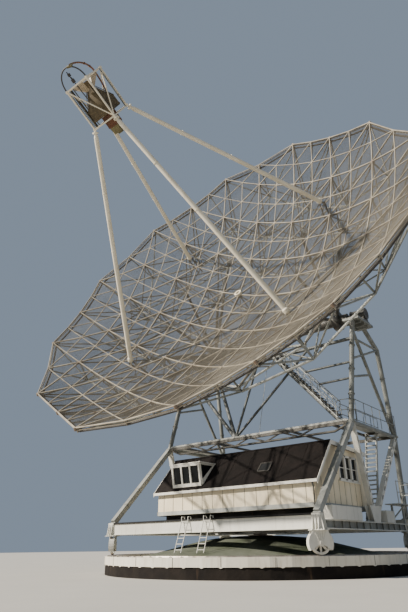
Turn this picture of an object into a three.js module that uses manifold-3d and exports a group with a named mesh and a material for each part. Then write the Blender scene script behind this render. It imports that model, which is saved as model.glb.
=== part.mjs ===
// Twenty-five metre radio telescope dish on a four-wheel azimuth carriage.
// Millimetres, Z up, origin on the azimuth axis at ground level.
// X runs along the elevation axis, and the dish looks towards -Y.
import * as THREE from 'three';
import { mergeVertices } from 'three/addons/utils/BufferGeometryUtils.js';
import Module from 'manifold-3d';

const wasm = await Module();
wasm.setup();

// Pose and dish
const ELEVATION = 29.7;
const AXIS_Y = 2440;
const AXIS_Z = 12970;
const VERTEX_OFF = 3900;
const FOCAL = 12000;
const PITCH = 3467;
const RIM_NORM = 13;
const SKIN_T = 30;
const CELL_BAND = 250;
const FRONT_BAR = 110;
const BACK_BAR = 90;
const WEB_R = 42;
const WEB_END = 260;
const BACK_DEPTH = 1250;
const SEAT = 0.3;
const RUN = 0.3;

// Elevation axle and cradles
const AXLE_R = 300;
const AXLE_X = 5200;
const STUB_R = 150;
const COLLAR_X = 4550;
const COLLAR_R = 560;
const COLLAR_W = 360;
const CRADLE_LOW = -4500;
const CRADLE_HIGH = 5300;
const CRADLE_TUBE_R = 95;

// Feed
const LEG_R = 150;
const FOOT_XY = 5300;
const CAGE_HALF = 730;
const CAGE_Z0 = 12280;
const CAGE_Z1 = 14400;
const CAGE_BAR = 110;
const CAGE_BLOCK_H = 65;
const CAGE_TIE = 70;
const HOOP_H = 800;
const HOOP_R = 34;
const HORN_Z0 = 12550;

// Foundation
const WALL_R = 7700;
const BEAM_R0 = 7240;
const BEAM_R1 = 7740;
const BEAM_Z0 = 430;
const BEAM_Z1 = 770;
const RAIL_R = 7500;
const RAIL_TOP = 812;
const RAIL_FOOT = 60;
const RAIL_HEAD = 40;
const DOME_TOP = 1580;
const PIN_R = 350;
const PIN_PLATE_R = 620;
const PIN_TOP = 2200;

// Carriage
const CAR_X = 5850;
const CAR_Y = 4720;
const GIRDER_Z0 = 1710;
const GIRDER_Z1 = 2260;
const SIDE_Z1 = 2060;
const GIRDER_W = 300;
const FLANGE_T = 40;
const WHEEL_R = 400;
const WHEEL_W = 130;
const WHEEL_Z = RAIL_TOP + WHEEL_R + SEAT;
const WHEEL_AXLE_R = 70;
const WHEEL_AXLE_END = 170;
const CHEEK = [85, 135];
const HOUSING_TOP = { half: 180, t: 380, z0: 1640 };
const WHEEL_CLEAR = 12;
const GUARD_R = 425;
const INNER_X = [1250, 3500];
const STAIR_Y0 = 1600;

// Towers
const MID_Z = 6460;
const MID_Y0 = -550;
const MID_Y1 = 4850;
const TOWER_X = 5880;
const TOP_Z = 12420;
const TOP_Y0 = 1300;
const KNEE_Y = 4300;
const KNEE_Z = 11350;
const TUBE_R = 130;
const V_FOOT_Y = 700;
const PORTAL_Z = 11150;
const STAIR_X0 = 5080;
const STAIR_X1 = 5640;
const STAIR_Y1 = 3080;
const BLOCK_X0 = 5430;
const BLOCK_X1 = 6300;

// Cabin
const CAB_X0 = -3480;
const CAB_X1 = 5480;
const CAB_Y0 = -3900;
const CAB_Y1 = 1000;
const CAB_Z0 = 2540;
const EAVES_Z = 3680;
const REAR_EAVES_Z = 5100;
const RIDGE_Z = 5230;
const RIDGE_Y = -2480;
const WALL_T = 90;
const FLOOR_T = 120;
const ROOF_T = 110;
const EAVES_OUT = 180;
const VERGE_OUT = 150;
const GABLE_PANES = [[-1620, -1030], [-940, -420], [-330, 230]];
const PANE_Z0 = 3800;
const PANE_Z1 = 4830;
const DORMER = { x0: -2420, x1: -600, z0: 3790, z1: 4850, y0: -4100, y1: -2980, lean: 180 };
const DORMER_WALL = 90;
const DORMER_PANES = { z0: 3940, z1: 4740, post: 50 };
const LADDER_W = 420;
const LADDER_LOW = 890;
const LADDER_LEAN = 500;

const V = (x, y, z) => new THREE.Vector3(x, y, z);
const rad = THREE.MathUtils.degToRad;

const PAINTS = {
  mesh: 0xb9ad97,
  cream: 0xd8d3c2,
  lattice: 0xa9aca3,
  tower: 0x9aa39f,
  white: 0xe4e2da,
  roof: 0x2b2723,
  plinth: 0x24211f,
  steel: 0x77736d,
  iron: 0x4b4845,
  feed: 0x7d6244,
  dark: 0x3a2e27,
};

const group = new THREE.Group();
group.name = 'radio_telescope';

function toManifold(geometry) {
  const g = geometry.clone();
  g.deleteAttribute('normal');
  g.deleteAttribute('uv');
  const m = mergeVertices(g, 1e-3);
  return new wasm.Manifold(new wasm.Mesh({
    numProp: 3,
    vertProperties: new Float32Array(m.attributes.position.array),
    triVerts: new Uint32Array(m.index.array),
  }));
}

function join(parts) {
  return wasm.Manifold.union(parts);
}

// The main shell alone: small pockets closed in between bars are filled.
function shellOf(solid) {
  return solid.decompose().reduce((a, b) => (a.volume() > b.volume() ? a : b));
}

function add(name, solid, paint) {
  const mesh = solid.getMesh();
  const g = new THREE.BufferGeometry();
  g.setAttribute('position', new THREE.BufferAttribute(mesh.vertProperties, 3));
  g.setIndex(new THREE.BufferAttribute(mesh.triVerts, 1));
  g.computeVertexNormals();
  const material = new THREE.MeshStandardMaterial({ color: PAINTS[paint], roughness: 0.7 });
  const out = new THREE.Mesh(g, material);
  out.name = name;
  group.add(out);
}

// Frame whose Z runs from a to b and whose Y leans towards a given up direction.
function alongMatrix(a, b, up) {
  const z = b.clone().sub(a).normalize();
  const hint = up || (Math.abs(z.z) > 0.9 ? V(1, 0, 0) : V(0, 0, 1));
  const x = hint.clone().cross(z).normalize();
  const y = z.clone().cross(x);
  return new THREE.Matrix4().makeBasis(x, y, z).setPosition(a);
}

function tube(a, b, r, sides = 6) {
  const g = new THREE.CylinderGeometry(r, r, a.distanceTo(b), sides);
  g.rotateX(Math.PI / 2);
  g.translate(0, 0, a.distanceTo(b) / 2);
  g.applyMatrix4(alongMatrix(a, b));
  return toManifold(g);
}

// Rectangular bar; the flat face of height lies towards up.
function bar(a, b, w, h, up) {
  const g = new THREE.BoxGeometry(w, h, a.distanceTo(b));
  g.translate(0, 0, a.distanceTo(b) / 2);
  g.applyMatrix4(alongMatrix(a, b, up));
  return toManifold(g);
}

function box(x0, y0, z0, x1, y1, z1) {
  const g = new THREE.BoxGeometry(x1 - x0, y1 - y0, z1 - z0);
  g.translate((x0 + x1) / 2, (y0 + y1) / 2, (z0 + z1) / 2);
  return toManifold(g);
}

// Closed profile of [r, z] pairs, anticlockwise, turned about Z.
function turnedGeometry(profile, segments) {
  const pts = profile.map(([r, z]) => new THREE.Vector2(r, z));
  pts.push(pts[0].clone());
  const g = new THREE.LatheGeometry(pts, segments);
  g.rotateX(Math.PI / 2);
  return g;
}
const turned = (profile, segments) => toManifold(turnedGeometry(profile, segments));

// Outline of [y, z] pairs pushed along X.
function extrudedX(outline, x0, x1) {
  const shape = new THREE.Shape(outline.map(([y, z]) => new THREE.Vector2(y, z)));
  const g = new THREE.ExtrudeGeometry(shape, { depth: x1 - x0, bevelEnabled: false });
  g.applyMatrix4(new THREE.Matrix4().makeBasis(V(0, 1, 0), V(0, 0, 1), V(1, 0, 0)));
  g.translate(x0, 0, 0);
  return toManifold(g);
}

// Dish frame: x along the elevation axis, y to the upper rim, z out of the bowl.
const EL = rad(ELEVATION);
const DY = V(0, Math.sin(EL), Math.cos(EL));
const DZ = V(0, -Math.cos(EL), Math.sin(EL));
const VERTEX = V(0, AXIS_Y, AXIS_Z).addScaledVector(DZ, VERTEX_OFF);

function dish(x, y, z) {
  return VERTEX.clone().add(V(x, 0, 0)).addScaledVector(DY, y).addScaledVector(DZ, z);
}

function bowl(x, y) {
  return (x * x + y * y) / (4 * FOCAL);
}

// Triangular grid of lattice nodes inside the twelve-sided rim.
const nodes = new Map();
const key = (i, j) => `${i},${j}`;
for (let i = -4; i <= 4; i += 1) {
  for (let j = -4; j <= 4; j += 1) {
    const norm = i * i + j * j + i * j;
    if (norm > RIM_NORM) continue;
    const u = PITCH * (i + j / 2);
    const v = -PITCH * j * Math.sqrt(3) / 2;
    const x = u * Math.cos(Math.PI / 6) + v * Math.sin(Math.PI / 6);
    const y = -u * Math.sin(Math.PI / 6) + v * Math.cos(Math.PI / 6);
    nodes.set(key(i, j), { i, j, norm, x, y });
  }
}
const STEPS = [[1, 0], [0, 1], [1, -1]];
const rimPairs = [];
for (const a of nodes.values()) {
  for (const b of nodes.values()) {
    if (a.norm !== RIM_NORM || b.norm !== RIM_NORM || a.i * 100 + a.j >= b.i * 100 + b.j) continue;
    const gap = Math.hypot(a.x - b.x, a.y - b.y) / PITCH;
    if (gap < 1.8) rimPairs.push([a, b]);
  }
}

const FEET = [['near', 1, -1], ['left', -1, -1], ['far', -1, 1], ['right', 1, 1]];

// Whether a feed leg stands inside the cell with these corners, given anticlockwise
function holdsFoot(cell) {
  return FEET.some(([, sx, sy]) => cell.every((p, k) => {
    const q = cell[(k + 1) % 3];
    return (q.x - p.x) * (sy * FOOT_XY - p.y) > (q.y - p.y) * (sx * FOOT_XY - p.x);
  }));
}

// Middle of a cell's inscribed circle as weights of its corners, and the circle's radius
function inscribed(cell) {
  const side = cell.map((p, k) => {
    const [q, r] = [cell[(k + 1) % 3], cell[(k + 2) % 3]];
    return Math.hypot(q.x - r.x, q.y - r.y);
  });
  const [p, q, r] = cell;
  const area = ((q.x - p.x) * (r.y - p.y) - (r.x - p.x) * (q.y - p.y)) / 2;
  const round = side[0] + side[1] + side[2];
  return { weights: side.map((s) => s / round), radius: 2 * area / round };
}

// Cells of the reflector between lattice nodes, corners anticlockwise
function cells() {
  const list = [...nodes.values()];
  const found = [];
  const at = (i, j) => nodes.get(key(i, j));
  for (const n of list) {
    const a = at(n.i + 1, n.j);
    const b = at(n.i, n.j + 1);
    const c = at(n.i + 1, n.j - 1);
    if (a && b) found.push([n, a, b]);
    if (a && c) found.push([n, c, a]);
  }
  for (const [a, b] of rimPairs) {
    const c = list.find((n) => n.norm < RIM_NORM
      && Math.abs(Math.hypot(n.x - a.x, n.y - a.y) - PITCH) < 1
      && Math.abs(Math.hypot(n.x - b.x, n.y - b.y) - PITCH) < 1);
    found.push([a, b, c]);
  }
  return found.map(([a, b, c]) => {
    const turn = (b.x - a.x) * (c.y - a.y) - (c.x - a.x) * (b.y - a.y);
    return turn > 0 ? [a, b, c] : [a, c, b];
  });
}

// Reflector skin with an opening in each cell, or the closed sheet raised to cut what stands on it
function skin(lift, open) {
  const position = [];
  const tri = [];
  const put = (v) => {
    position.push(...v.toArray(), ...v.clone().addScaledVector(DZ, -SKIN_T).toArray());
    return position.length / 6 - 1;
  };
  const facet = (a, b, c) => tri.push(2 * a, 2 * b, 2 * c, 2 * c + 1, 2 * b + 1, 2 * a + 1);
  const wall = (a, b) => tri.push(2 * b, 2 * a, 2 * a + 1, 2 * b, 2 * a + 1, 2 * b + 1);
  const upper = (p) => dish(p.x, p.y, bowl(p.x, p.y) + lift);
  const index = new Map([...nodes.values()].map((p) => [p, put(upper(p))]));
  const edges = new Map();
  for (const cell of cells()) {
    const outer = cell.map((p) => index.get(p));
    for (let k = 0; k < 3; k += 1) edges.set(`${outer[k]}_${outer[(k + 1) % 3]}`, [outer[k], outer[(k + 1) % 3]]);
    if (!open || holdsFoot(cell)) {
      facet(...outer);
      continue;
    }
    const { weights, radius } = inscribed(cell);
    const middle = V(0, 0, 0);
    cell.forEach((p, k) => middle.addScaledVector(upper(p), weights[k]));
    const inner = cell.map((p) => put(upper(p).lerp(middle, CELL_BAND / radius)));
    for (let k = 0; k < 3; k += 1) {
      const m = (k + 1) % 3;
      facet(outer[k], outer[m], inner[m]);
      facet(outer[k], inner[m], inner[k]);
      wall(inner[m], inner[k]);
    }
  }
  for (const [a, b] of edges.values()) {
    if (!edges.has(`${b}_${a}`)) wall(a, b);
  }
  return new wasm.Manifold(new wasm.Mesh({
    numProp: 3,
    vertProperties: new Float32Array(position),
    triVerts: new Uint32Array(tri),
  }));
}
add('reflector_skin', skin(0, true), 'mesh');

// Net of bars between six-sided node plates, given as one closed surface.
// Each plate side that faces a neighbour is the end of the bar that runs to it.
const FRONT_DROP = SKIN_T + SEAT;
function net(list, drop, width, height) {
  const index = new Map(list.map((n, k) => [key(n.i, n.j), k]));
  const position = [];
  const tri = [];
  const quad = (a, b, c, d) => tri.push(a, b, c, a, c, d);
  for (const n of list) {
    for (const low of [0, height]) {
      for (let k = 0; k < 6; k += 1) {
        const dx = width * Math.cos(k * Math.PI / 3);
        const dy = width * Math.sin(k * Math.PI / 3);
        const z = bowl(n.x, n.y) + (n.x * dx + n.y * dy) / (2 * FOCAL) - drop - low;
        position.push(...dish(n.x + dx, n.y + dy, z).toArray());
      }
    }
  }
  const top = (n, k) => 12 * n + (k % 6);
  const low = (n, k) => 12 * n + 6 + (k % 6);
  // Lattice step that each side k faces
  const facing = [[1, -1], [0, -1], [-1, 0], [-1, 1], [0, 1], [1, 0]];
  for (const p of list) {
    const a = index.get(key(p.i, p.j));
    for (let k = 1; k < 5; k += 1) {
      tri.push(top(a, 0), top(a, k), top(a, k + 1));
      tri.push(low(a, 0), low(a, k + 1), low(a, k));
    }
    for (let k = 0; k < 6; k += 1) {
      const b = index.get(key(p.i + facing[k][0], p.j + facing[k][1]));
      if (b === undefined) {
        quad(low(a, k), low(a, k + 1), top(a, k + 1), top(a, k));
      } else if (a < b) {
        quad(top(a, k), top(b, k + 4), top(b, k + 3), top(a, k + 1));
        quad(low(a, k), low(a, k + 1), low(b, k + 3), low(b, k + 4));
        quad(top(a, k), low(a, k), low(b, k + 4), top(b, k + 4));
        quad(top(a, k + 1), top(b, k + 3), low(b, k + 3), low(a, k + 1));
      }
    }
  }
  return new wasm.Manifold(new wasm.Mesh({
    numProp: 3,
    vertProperties: new Float32Array(position),
    triVerts: new Uint32Array(tri),
  }));
}

const hasBack = (n) => n.norm <= 7;
const frontPoint = (n) => dish(n.x, n.y, bowl(n.x, n.y) - FRONT_DROP - FRONT_BAR / 2);
const backPoint = (n) => dish(n.x, n.y, bowl(n.x, n.y) - FRONT_DROP - BACK_DEPTH - BACK_BAR / 2);

// Sloping web from the chord behind one node to the bar before the next
function web(near, far) {
  const a = backPoint(near);
  const b = frontPoint(far);
  const level = backPoint(near).sub(frontPoint(near));
  const run = b.clone().sub(a).add(level).normalize();
  return tube(a.addScaledVector(run, WEB_END), b.addScaledVector(run, -WEB_END), WEB_R, 3);
}

const allNodes = [...nodes.values()];
const backNodes = allNodes.filter(hasBack);
const grown = (list, drop, size) => net(list, drop - SEAT, size + 2 * SEAT, size + 2 * SEAT);
const BACK_DROP = FRONT_DROP + BACK_DEPTH;

// Front layer, right under the skin
const rimTies = rimPairs.map(([a, b]) => tube(frontPoint(a), frontPoint(b), 44, 4));
add('front_lattice', join([net(allNodes, FRONT_DROP, FRONT_BAR, FRONT_BAR), ...rimTies]), 'lattice');

// Back layer with its sloping webs, ends cut one seat short of the front layer
function backLattice() {
  const parts = [net(backNodes, BACK_DROP, BACK_BAR, BACK_BAR)];
  for (const n of allNodes) {
    for (const [di, dj] of STEPS) {
      const m = nodes.get(key(n.i + di, n.j + dj));
      if (!m) continue;
      const near = n.norm <= m.norm ? n : m;
      const far = near === n ? m : n;
      if (hasBack(near)) parts.push(web(near, far));
    }
  }
  return join(parts).subtract(grown(allNodes, FRONT_DROP, FRONT_BAR));
}
add('back_lattice', shellOf(backLattice()), 'lattice');

// Round bar along X, and the radius of a many-sided bore that it runs in
function roundX(r, x0, x1, y, z, segments) {
  const g = new THREE.CylinderGeometry(r, r, x1 - x0, segments);
  g.rotateZ(Math.PI / 2);
  g.translate((x0 + x1) / 2, y, z);
  return toManifold(g);
}
const boreFor = (r, segments) => (r + RUN) / Math.cos(Math.PI / segments);

// Cradle struts from the back nodes to a collar block on each side of the axle.
function cradle(s) {
  const c = V(s * COLLAR_X, AXIS_Y, AXIS_Z);
  const half = COLLAR_W / 2;
  const parts = [roundX(COLLAR_R, c.x - half, c.x + half, c.y, c.z, 12)];
  for (const n of backNodes) {
    const level = n.y > CRADLE_LOW && n.y < CRADLE_HIGH;
    if (level && n.norm >= 1 && n.norm <= 4 && s * n.x > 1000) parts.push(tube(c, backPoint(n), CRADLE_TUBE_R, 5));
  }
  return join(parts).subtract(roundX(AXLE_R + SEAT, c.x - 900, c.x + 900, c.y, c.z, 24));
}
for (const [side, s] of [['left', -1], ['right', 1]]) {
  add(`cradle_${side}`, shellOf(cradle(s).subtract(grown(backNodes, BACK_DROP, BACK_BAR))), 'tower');
}

// Elevation axle, turned down at each end to run in the bearing blocks
add('elevation_axle', join([
  roundX(AXLE_R, -AXLE_X, AXLE_X, AXIS_Y, AXIS_Z, 24),
  roundX(STUB_R, 15 - BLOCK_X1, BLOCK_X1 - 15, AXIS_Y, AXIS_Z, 16),
]), 'tower');

// Frame of the dish, for boxes and turned pieces that follow it
const inDish = (x, y, z) => new THREE.Matrix4().makeBasis(V(1, 0, 0), DY, DZ).setPosition(dish(x, y, z));
function dishBox(x0, y0, z0, x1, y1, z1) {
  const g = new THREE.BoxGeometry(x1 - x0, y1 - y0, z1 - z0);
  g.applyMatrix4(inDish((x0 + x1) / 2, (y0 + y1) / 2, (z0 + z1) / 2));
  return toManifold(g);
}

// Feed legs, standing on the skin and ending under the cage's lower square
const FAR = 3000;
const skinLid = skin(SEAT, false);
for (const [name, sx, sy] of FEET) {
  const foot = dish(sx * FOOT_XY, sy * FOOT_XY, bowl(FOOT_XY, FOOT_XY));
  const head = dish(sx * CAGE_HALF, sy * CAGE_HALF, CAGE_Z0);
  const leg = join([
    tube(foot.clone().lerp(head, -0.04), head, LEG_R, 12),
    tube(foot.clone().lerp(head, -0.04), foot.clone().lerp(head, 0.035), LEG_R + 35, 12),
  ]);
  const above = dishBox(-FAR, -FAR, CAGE_Z0 - CAGE_BLOCK_H - SEAT, FAR, FAR, CAGE_Z0 + FAR);
  add(`feed_leg_${name}`, shellOf(leg.subtract(above).subtract(skinLid)), 'cream');
}

// Hub ring on the skin at the middle of the bowl
function vertexRing() {
  const g = turnedGeometry([[130, -80], [200, -80], [200, 190], [130, 190]], 16);
  g.applyMatrix4(inDish(0, 0, 0));
  return shellOf(toManifold(g).subtract(skinLid));
}
add('vertex_ring', vertexRing(), 'cream');

// Feed cage: corner blocks with bars ending inside them
function cage() {
  const parts = [];
  const h = CAGE_HALF;
  const c = [[-1, -1], [1, -1], [1, 1], [-1, 1]];
  const at = (k, z) => dish(c[k % 4][0] * h, c[k % 4][1] * h, z);
  for (let k = 0; k < 4; k += 1) {
    const [x, y] = [c[k][0] * h, c[k][1] * h];
    for (const z of [CAGE_Z0, CAGE_Z1]) {
      parts.push(dishBox(x - 80, y - 80, z - CAGE_BLOCK_H, x + 80, y + 80, z + CAGE_BLOCK_H));
      parts.push(bar(at(k, z), at(k + 1, z), 100, CAGE_BAR, DZ));
    }
    parts.push(bar(at(k, CAGE_Z0), at(k, CAGE_Z1), CAGE_BAR, 100, DY));
    const [low, high] = k % 2 ? [k, k + 1] : [k + 1, k];
    parts.push(bar(at(high, CAGE_Z1 - 210), at(low, CAGE_Z0 + 210), 56, 56, DZ));
  }
  parts.push(bar(dish(-h, 0, CAGE_Z1), dish(h, 0, CAGE_Z1), CAGE_TIE, CAGE_TIE, DZ));
  return join(parts);
}
add('feed_cage', cage(), 'cream');

// Hoop over the front edge of the cage's outer end, with a rib from its crown to the back edge
function hoops() {
  const parts = [];
  const base = CAGE_Z1 + CAGE_BAR / 2;
  const steps = 8;
  const hoop = (k) => {
    const a = Math.PI * k / steps;
    return dish(-Math.cos(a) * CAGE_HALF, -CAGE_HALF, base + Math.sin(a) * HOOP_H);
  };
  const rib = (k) => {
    const a = Math.PI / 2 * k / steps;
    return dish(0, (2 * Math.sin(a) - 1) * CAGE_HALF, base + Math.cos(a) * HOOP_H);
  };
  for (let k = 0; k < steps; k += 1) {
    parts.push(tube(hoop(k), hoop(k + 1), HOOP_R, 5), tube(rib(k), rib(k + 1), HOOP_R, 5));
  }
  const corners = dishBox(-FAR, -FAR, base - FAR, FAR, 0, CAGE_Z1 + CAGE_BLOCK_H + SEAT);
  const edge = dishBox(-FAR, -10, base - FAR, FAR, FAR, base + SEAT);
  return shellOf(join(parts).subtract(corners).subtract(edge));
}
add('feed_hoops', hoops(), 'dark');

// Four-sided feed parts: rows are [half width, height over the bowl's middle]
function square(rows) {
  const first = rows[0][1];
  const last = rows[rows.length - 1][1];
  const side = rows.map(([w, z]) => [w * Math.SQRT2, z]);
  const g = turnedGeometry([[0, first], ...side, [0, last]], 4);
  g.rotateZ(Math.PI / 4);
  g.applyMatrix4(inDish(0, 0, 0));
  return toManifold(g);
}
const HORN_TOP = CAGE_Z1 - CAGE_TIE / 2 - SEAT;
add('feed_horn', square([[560, HORN_Z0], [300, 13550], [100, 14050], [100, HORN_TOP]]), 'feed');
add('feed_box', square([[120, 11400], [120, 11480], [290, 11860], [290, HORN_Z0 - SEAT]]), 'dark');

// Foundation: ring wall with a domed floor inside it
add('foundation_base', turned([
  [0, 0], [WALL_R, 0], [WALL_R, BEAM_Z0], [7120, BEAM_Z0], [7060, 590], [6400, 690], [5600, 790],
  [4400, 1060], [3300, 1320], [2300, 1490], [1100, DOME_TOP], [0, DOME_TOP],
], 60), 'plinth');
add('ring_beam', turned([
  [BEAM_R0, BEAM_Z0 + SEAT], [BEAM_R1, BEAM_Z0 + SEAT], [BEAM_R1, BEAM_Z1], [BEAM_R0, BEAM_Z1],
], 60), 'white');
add('rail', turned([
  [RAIL_R - RAIL_FOOT, BEAM_Z1 + SEAT], [RAIL_R + RAIL_FOOT, BEAM_Z1 + SEAT],
  [RAIL_R + RAIL_HEAD, RAIL_TOP], [RAIL_R - RAIL_HEAD, RAIL_TOP],
], 60), 'steel');
add('centre_pin', turned([
  [0, DOME_TOP + SEAT], [PIN_PLATE_R, DOME_TOP + SEAT], [PIN_PLATE_R, DOME_TOP + 50],
  [PIN_R, DOME_TOP + 60], [PIN_R, PIN_TOP], [0, PIN_TOP],
], 24), 'steel');

// Carriage frame: box girders front and rear, open girders between them
const UP = V(0, 0, 1);
function girder(a, b, top, web, w) {
  const at = (p, z) => V(p[0], p[1], z);
  const t = FLANGE_T;
  const mid = (GIRDER_Z0 + top) / 2;
  return [
    bar(at(a, GIRDER_Z0 + t / 2), at(b, GIRDER_Z0 + t / 2), w, t, UP),
    bar(at(a, top - t / 2), at(b, top - t / 2), w, t, UP),
    bar(at(a, mid), at(b, mid), web, top - GIRDER_Z0 - t, UP),
  ];
}

function carriage() {
  const parts = [];
  const x = CAR_X;
  const y = CAR_Y;
  const c = GIRDER_W / 2 + 30;
  for (const s of [-1, 1]) {
    parts.push(...girder([-x, s * y], [x, s * y], GIRDER_Z1, GIRDER_W - 60, GIRDER_W));
    parts.push(...girder([s * x, -y], [s * x, y], SIDE_Z1, 50, GIRDER_W));
    for (const inner of INNER_X) parts.push(...girder([s * inner, -y], [s * inner, y], GIRDER_Z1, 40, 240));
    for (const q of [-1, 1]) {
      parts.push(box(s * x - c, q * y - c, GIRDER_Z0 - 20, s * x + c, q * y + c, GIRDER_Z1 + 20));
    }
  }
  parts.push(...girder([-x, 0], [x, 0], SIDE_Z1, 40, 260));
  parts.push(...girder([INNER_X[1], STAIR_Y0], [x, STAIR_Y0], SIDE_Z1, 40, 200));
  parts.push(turned([[250, GIRDER_Z0], [760, GIRDER_Z0], [760, SIDE_Z1], [250, SIDE_Z1]], 24));
  const hole = boreFor(PIN_R, 24);
  const bore = turned([[0, 1000], [hole, 1000], [hole, 2400], [0, 2400]], 24);
  return join(parts).subtract(bore.rotate([0, 0, 180 / 24]));
}
add('carriage_frame', carriage(), 'white');

// Wheels and their housings, axles pointing at the azimuth axis
const CORNERS = [['front_right', 1, -1], ['front_left', -1, -1], ['rear_right', 1, 1], ['rear_left', -1, 1]];
for (const [name, sx, sy] of CORNERS) {
  const turn = new THREE.Matrix4().makeRotationZ(Math.atan2(sy * CAR_Y, sx * CAR_X));
  const disc = (r, r0, r1, segments, phase = 0) => {
    const g = new THREE.CylinderGeometry(r, r, r1 - r0, segments, 1, false, phase);
    g.rotateZ(-Math.PI / 2);
    g.translate(RAIL_R + (r0 + r1) / 2, 0, WHEEL_Z);
    g.applyMatrix4(turn);
    return toManifold(g);
  };
  const slab = (r0, t, z0, r1, z1) => {
    const g = new THREE.BoxGeometry(r1 - r0, 2 * t, z1 - z0);
    g.translate(RAIL_R + (r0 + r1) / 2, 0, (z0 + z1) / 2);
    g.applyMatrix4(turn);
    return toManifold(g);
  };
  const half = WHEEL_W / 2;
  add(`wheel_${name}`, join([
    disc(WHEEL_R, -half, half, 20),
    disc(WHEEL_AXLE_R, -WHEEL_AXLE_END, WHEEL_AXLE_END, 10),
  ]), 'iron');
  const cheeks = [-1, 1].flatMap((q) => {
    const [r0, r1] = q > 0 ? CHEEK : [-CHEEK[1], -CHEEK[0]];
    return [disc(GUARD_R, r0, r1, 20), slab(r0, 300, WHEEL_Z, r1, HOUSING_TOP.z0 + 20)];
  });
  const { half: top, t, z0 } = HOUSING_TOP;
  const housing = join([slab(-top, t, z0, top, GIRDER_Z0 - 20 - SEAT), ...cheeks]);
  add(`wheel_housing_${name}`, housing.subtract(join([
    disc(boreFor(WHEEL_AXLE_R, 20), -400, 400, 20, Math.PI / 20),
    disc(WHEEL_R + WHEEL_CLEAR, -half - WHEEL_CLEAR, half + WHEEL_CLEAR, 20),
  ])), 'white');
}

// Towers: sloping front leg, upright rear column, and a diagonal between them
const CORNER_TOP = GIRDER_Z1 + 20 + SEAT;
const V_TOP = SIDE_Z1 + SEAT;
const LEG_TOP = TOP_Z - 140;
const frontY = (z) => MID_Y0 + (TOP_Y0 - MID_Y0) * (z - MID_Z) / (LEG_TOP - MID_Z);
function towerParts(s, g) {
  const x = s * TOWER_X;
  const at = (y, z) => V(x, y, z);
  const front = (z) => at(frontY(z), z);
  const m0 = at(MID_Y0, MID_Z);
  const m1 = at(MID_Y1, MID_Z);
  const knee = at(KNEE_Y, KNEE_Z);
  const foot = (y, z) => V(s * CAR_X, y, z - 200);
  const onDiagonal = (k) => front(11700).lerp(m1, k);
  const thick = TUBE_R + g;
  const thin = 65 + g;
  const rod = (a, b, r, sides) => {
    const reach = b.clone().sub(a).setLength(g);
    return tube(a.clone().sub(reach), b.clone().add(reach), r, sides);
  };
  const plateX = [s * (BLOCK_X0 - 30), s * (BLOCK_X1 + 30)].sort((p, q) => p - q);
  const pad = (y, z, wx, wy) => box(x - wx - g, y - wy - g, z - g, x + wx + g, y + wy + g, z + 40 + g);
  return [
    rod(foot(-CAR_Y, CORNER_TOP), m0, thick + 15, 8),
    rod(foot(V_FOOT_Y, V_TOP), m0, thick - 20, 8),
    rod(foot(V_FOOT_Y, V_TOP), m1, thick - 20, 8),
    rod(foot(CAR_Y, CORNER_TOP), m1, thick + 15, 8),
    rod(m0, front(LEG_TOP), thick, 8),
    rod(m1, knee, thick, 8),
    rod(knee, at(2700, LEG_TOP), thick, 8),
    rod(m0, m1, thick - 10, 8),
    rod(front(11700), m1, 90 + g, 6),
    rod(front(9900), knee, thin, 6),
    rod(front(11200), knee, thin, 6),
    rod(front(8850), onDiagonal(0.42), thin, 6),
    box(plateX[0] - g, TOP_Y0 - 200 - g, TOP_Z - 130 - g, plateX[1] + g, 3100 + g, TOP_Z + g),
    pad(-CAR_Y + 60, CORNER_TOP, 170, 120),
    pad(V_FOOT_Y, V_TOP, 140, 330),
    pad(CAR_Y, CORNER_TOP, 170, 170),
  ];
}

for (const [side, s] of [['right', 1], ['left', -1]]) {
  const ground = join([
    box(-9000, -9000, 0, 9000, -4200, CORNER_TOP),
    box(-9000, -4200, 0, 9000, 4200, V_TOP),
    box(-9000, 4200, 0, 9000, 9000, CORNER_TOP),
  ]);
  add(`tower_${side}`, shellOf(join(towerParts(s, 0)).subtract(ground)), 'tower');

  // Long plummer block around the axle stub
  const [x0, x1] = [s * BLOCK_X0, s * BLOCK_X1].sort((p, q) => p - q);
  const block = join([
    box(x0, AXIS_Y - 420, TOP_Z + SEAT, x1, AXIS_Y + 420, TOP_Z + 120),
    box(x0, AXIS_Y - 260, TOP_Z + 100, x1, AXIS_Y + 260, AXIS_Z),
    roundX(300, x0, x1, AXIS_Y, AXIS_Z, 20),
  ]);
  const bore = boreFor(STUB_R, 20);
  add(`bearing_block_${side}`, block.subtract(roundX(bore, x0 - 50, x1 + 50, AXIS_Y, AXIS_Z, 20)), 'white');
}

// Seats for what ends against the towers
const towerSeats = join([...towerParts(-1, SEAT), ...towerParts(1, SEAT)]);

// Level frame between the towers, halfway up
const BEAM = 150;
const acrossBeam = (y, w) => bar(V(-TOWER_X, y, MID_Z), V(TOWER_X, y, MID_Z), w, w, UP);
function crossFrame() {
  const low = MID_Z - 350;
  const parts = [acrossBeam(MID_Y0, BEAM), acrossBeam(MID_Y1, BEAM)];
  parts.push(tube(V(-5000, MID_Y0, low), V(5000, MID_Y0, low), 60, 6));
  for (const s of [-1, 1]) {
    parts.push(tube(V(s * 5000, MID_Y0, low), V(s * TOWER_X, MID_Y0, MID_Z), 60, 6));
    for (const x of [1000, 3000]) {
      parts.push(tube(V(s * x, MID_Y0, low), V(s * (x + 1000), MID_Y0, MID_Z), 45, 6));
      parts.push(tube(V(s * x, MID_Y0, low), V(s * (x - 1000), MID_Y0, MID_Z), 45, 6));
    }
    for (const x of [2500, 4850]) {
      parts.push(bar(V(s * x, MID_Y0, MID_Z), V(s * x, MID_Y1, MID_Z), 110, 110, UP));
    }
    parts.push(bar(V(s * 4850, STAIR_Y1, MID_Z), V(s * TOWER_X, STAIR_Y1, MID_Z), 110, 110, UP));
  }
  return shellOf(join(parts).subtract(towerSeats));
}
add('cross_frame', crossFrame(), 'tower');

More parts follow.
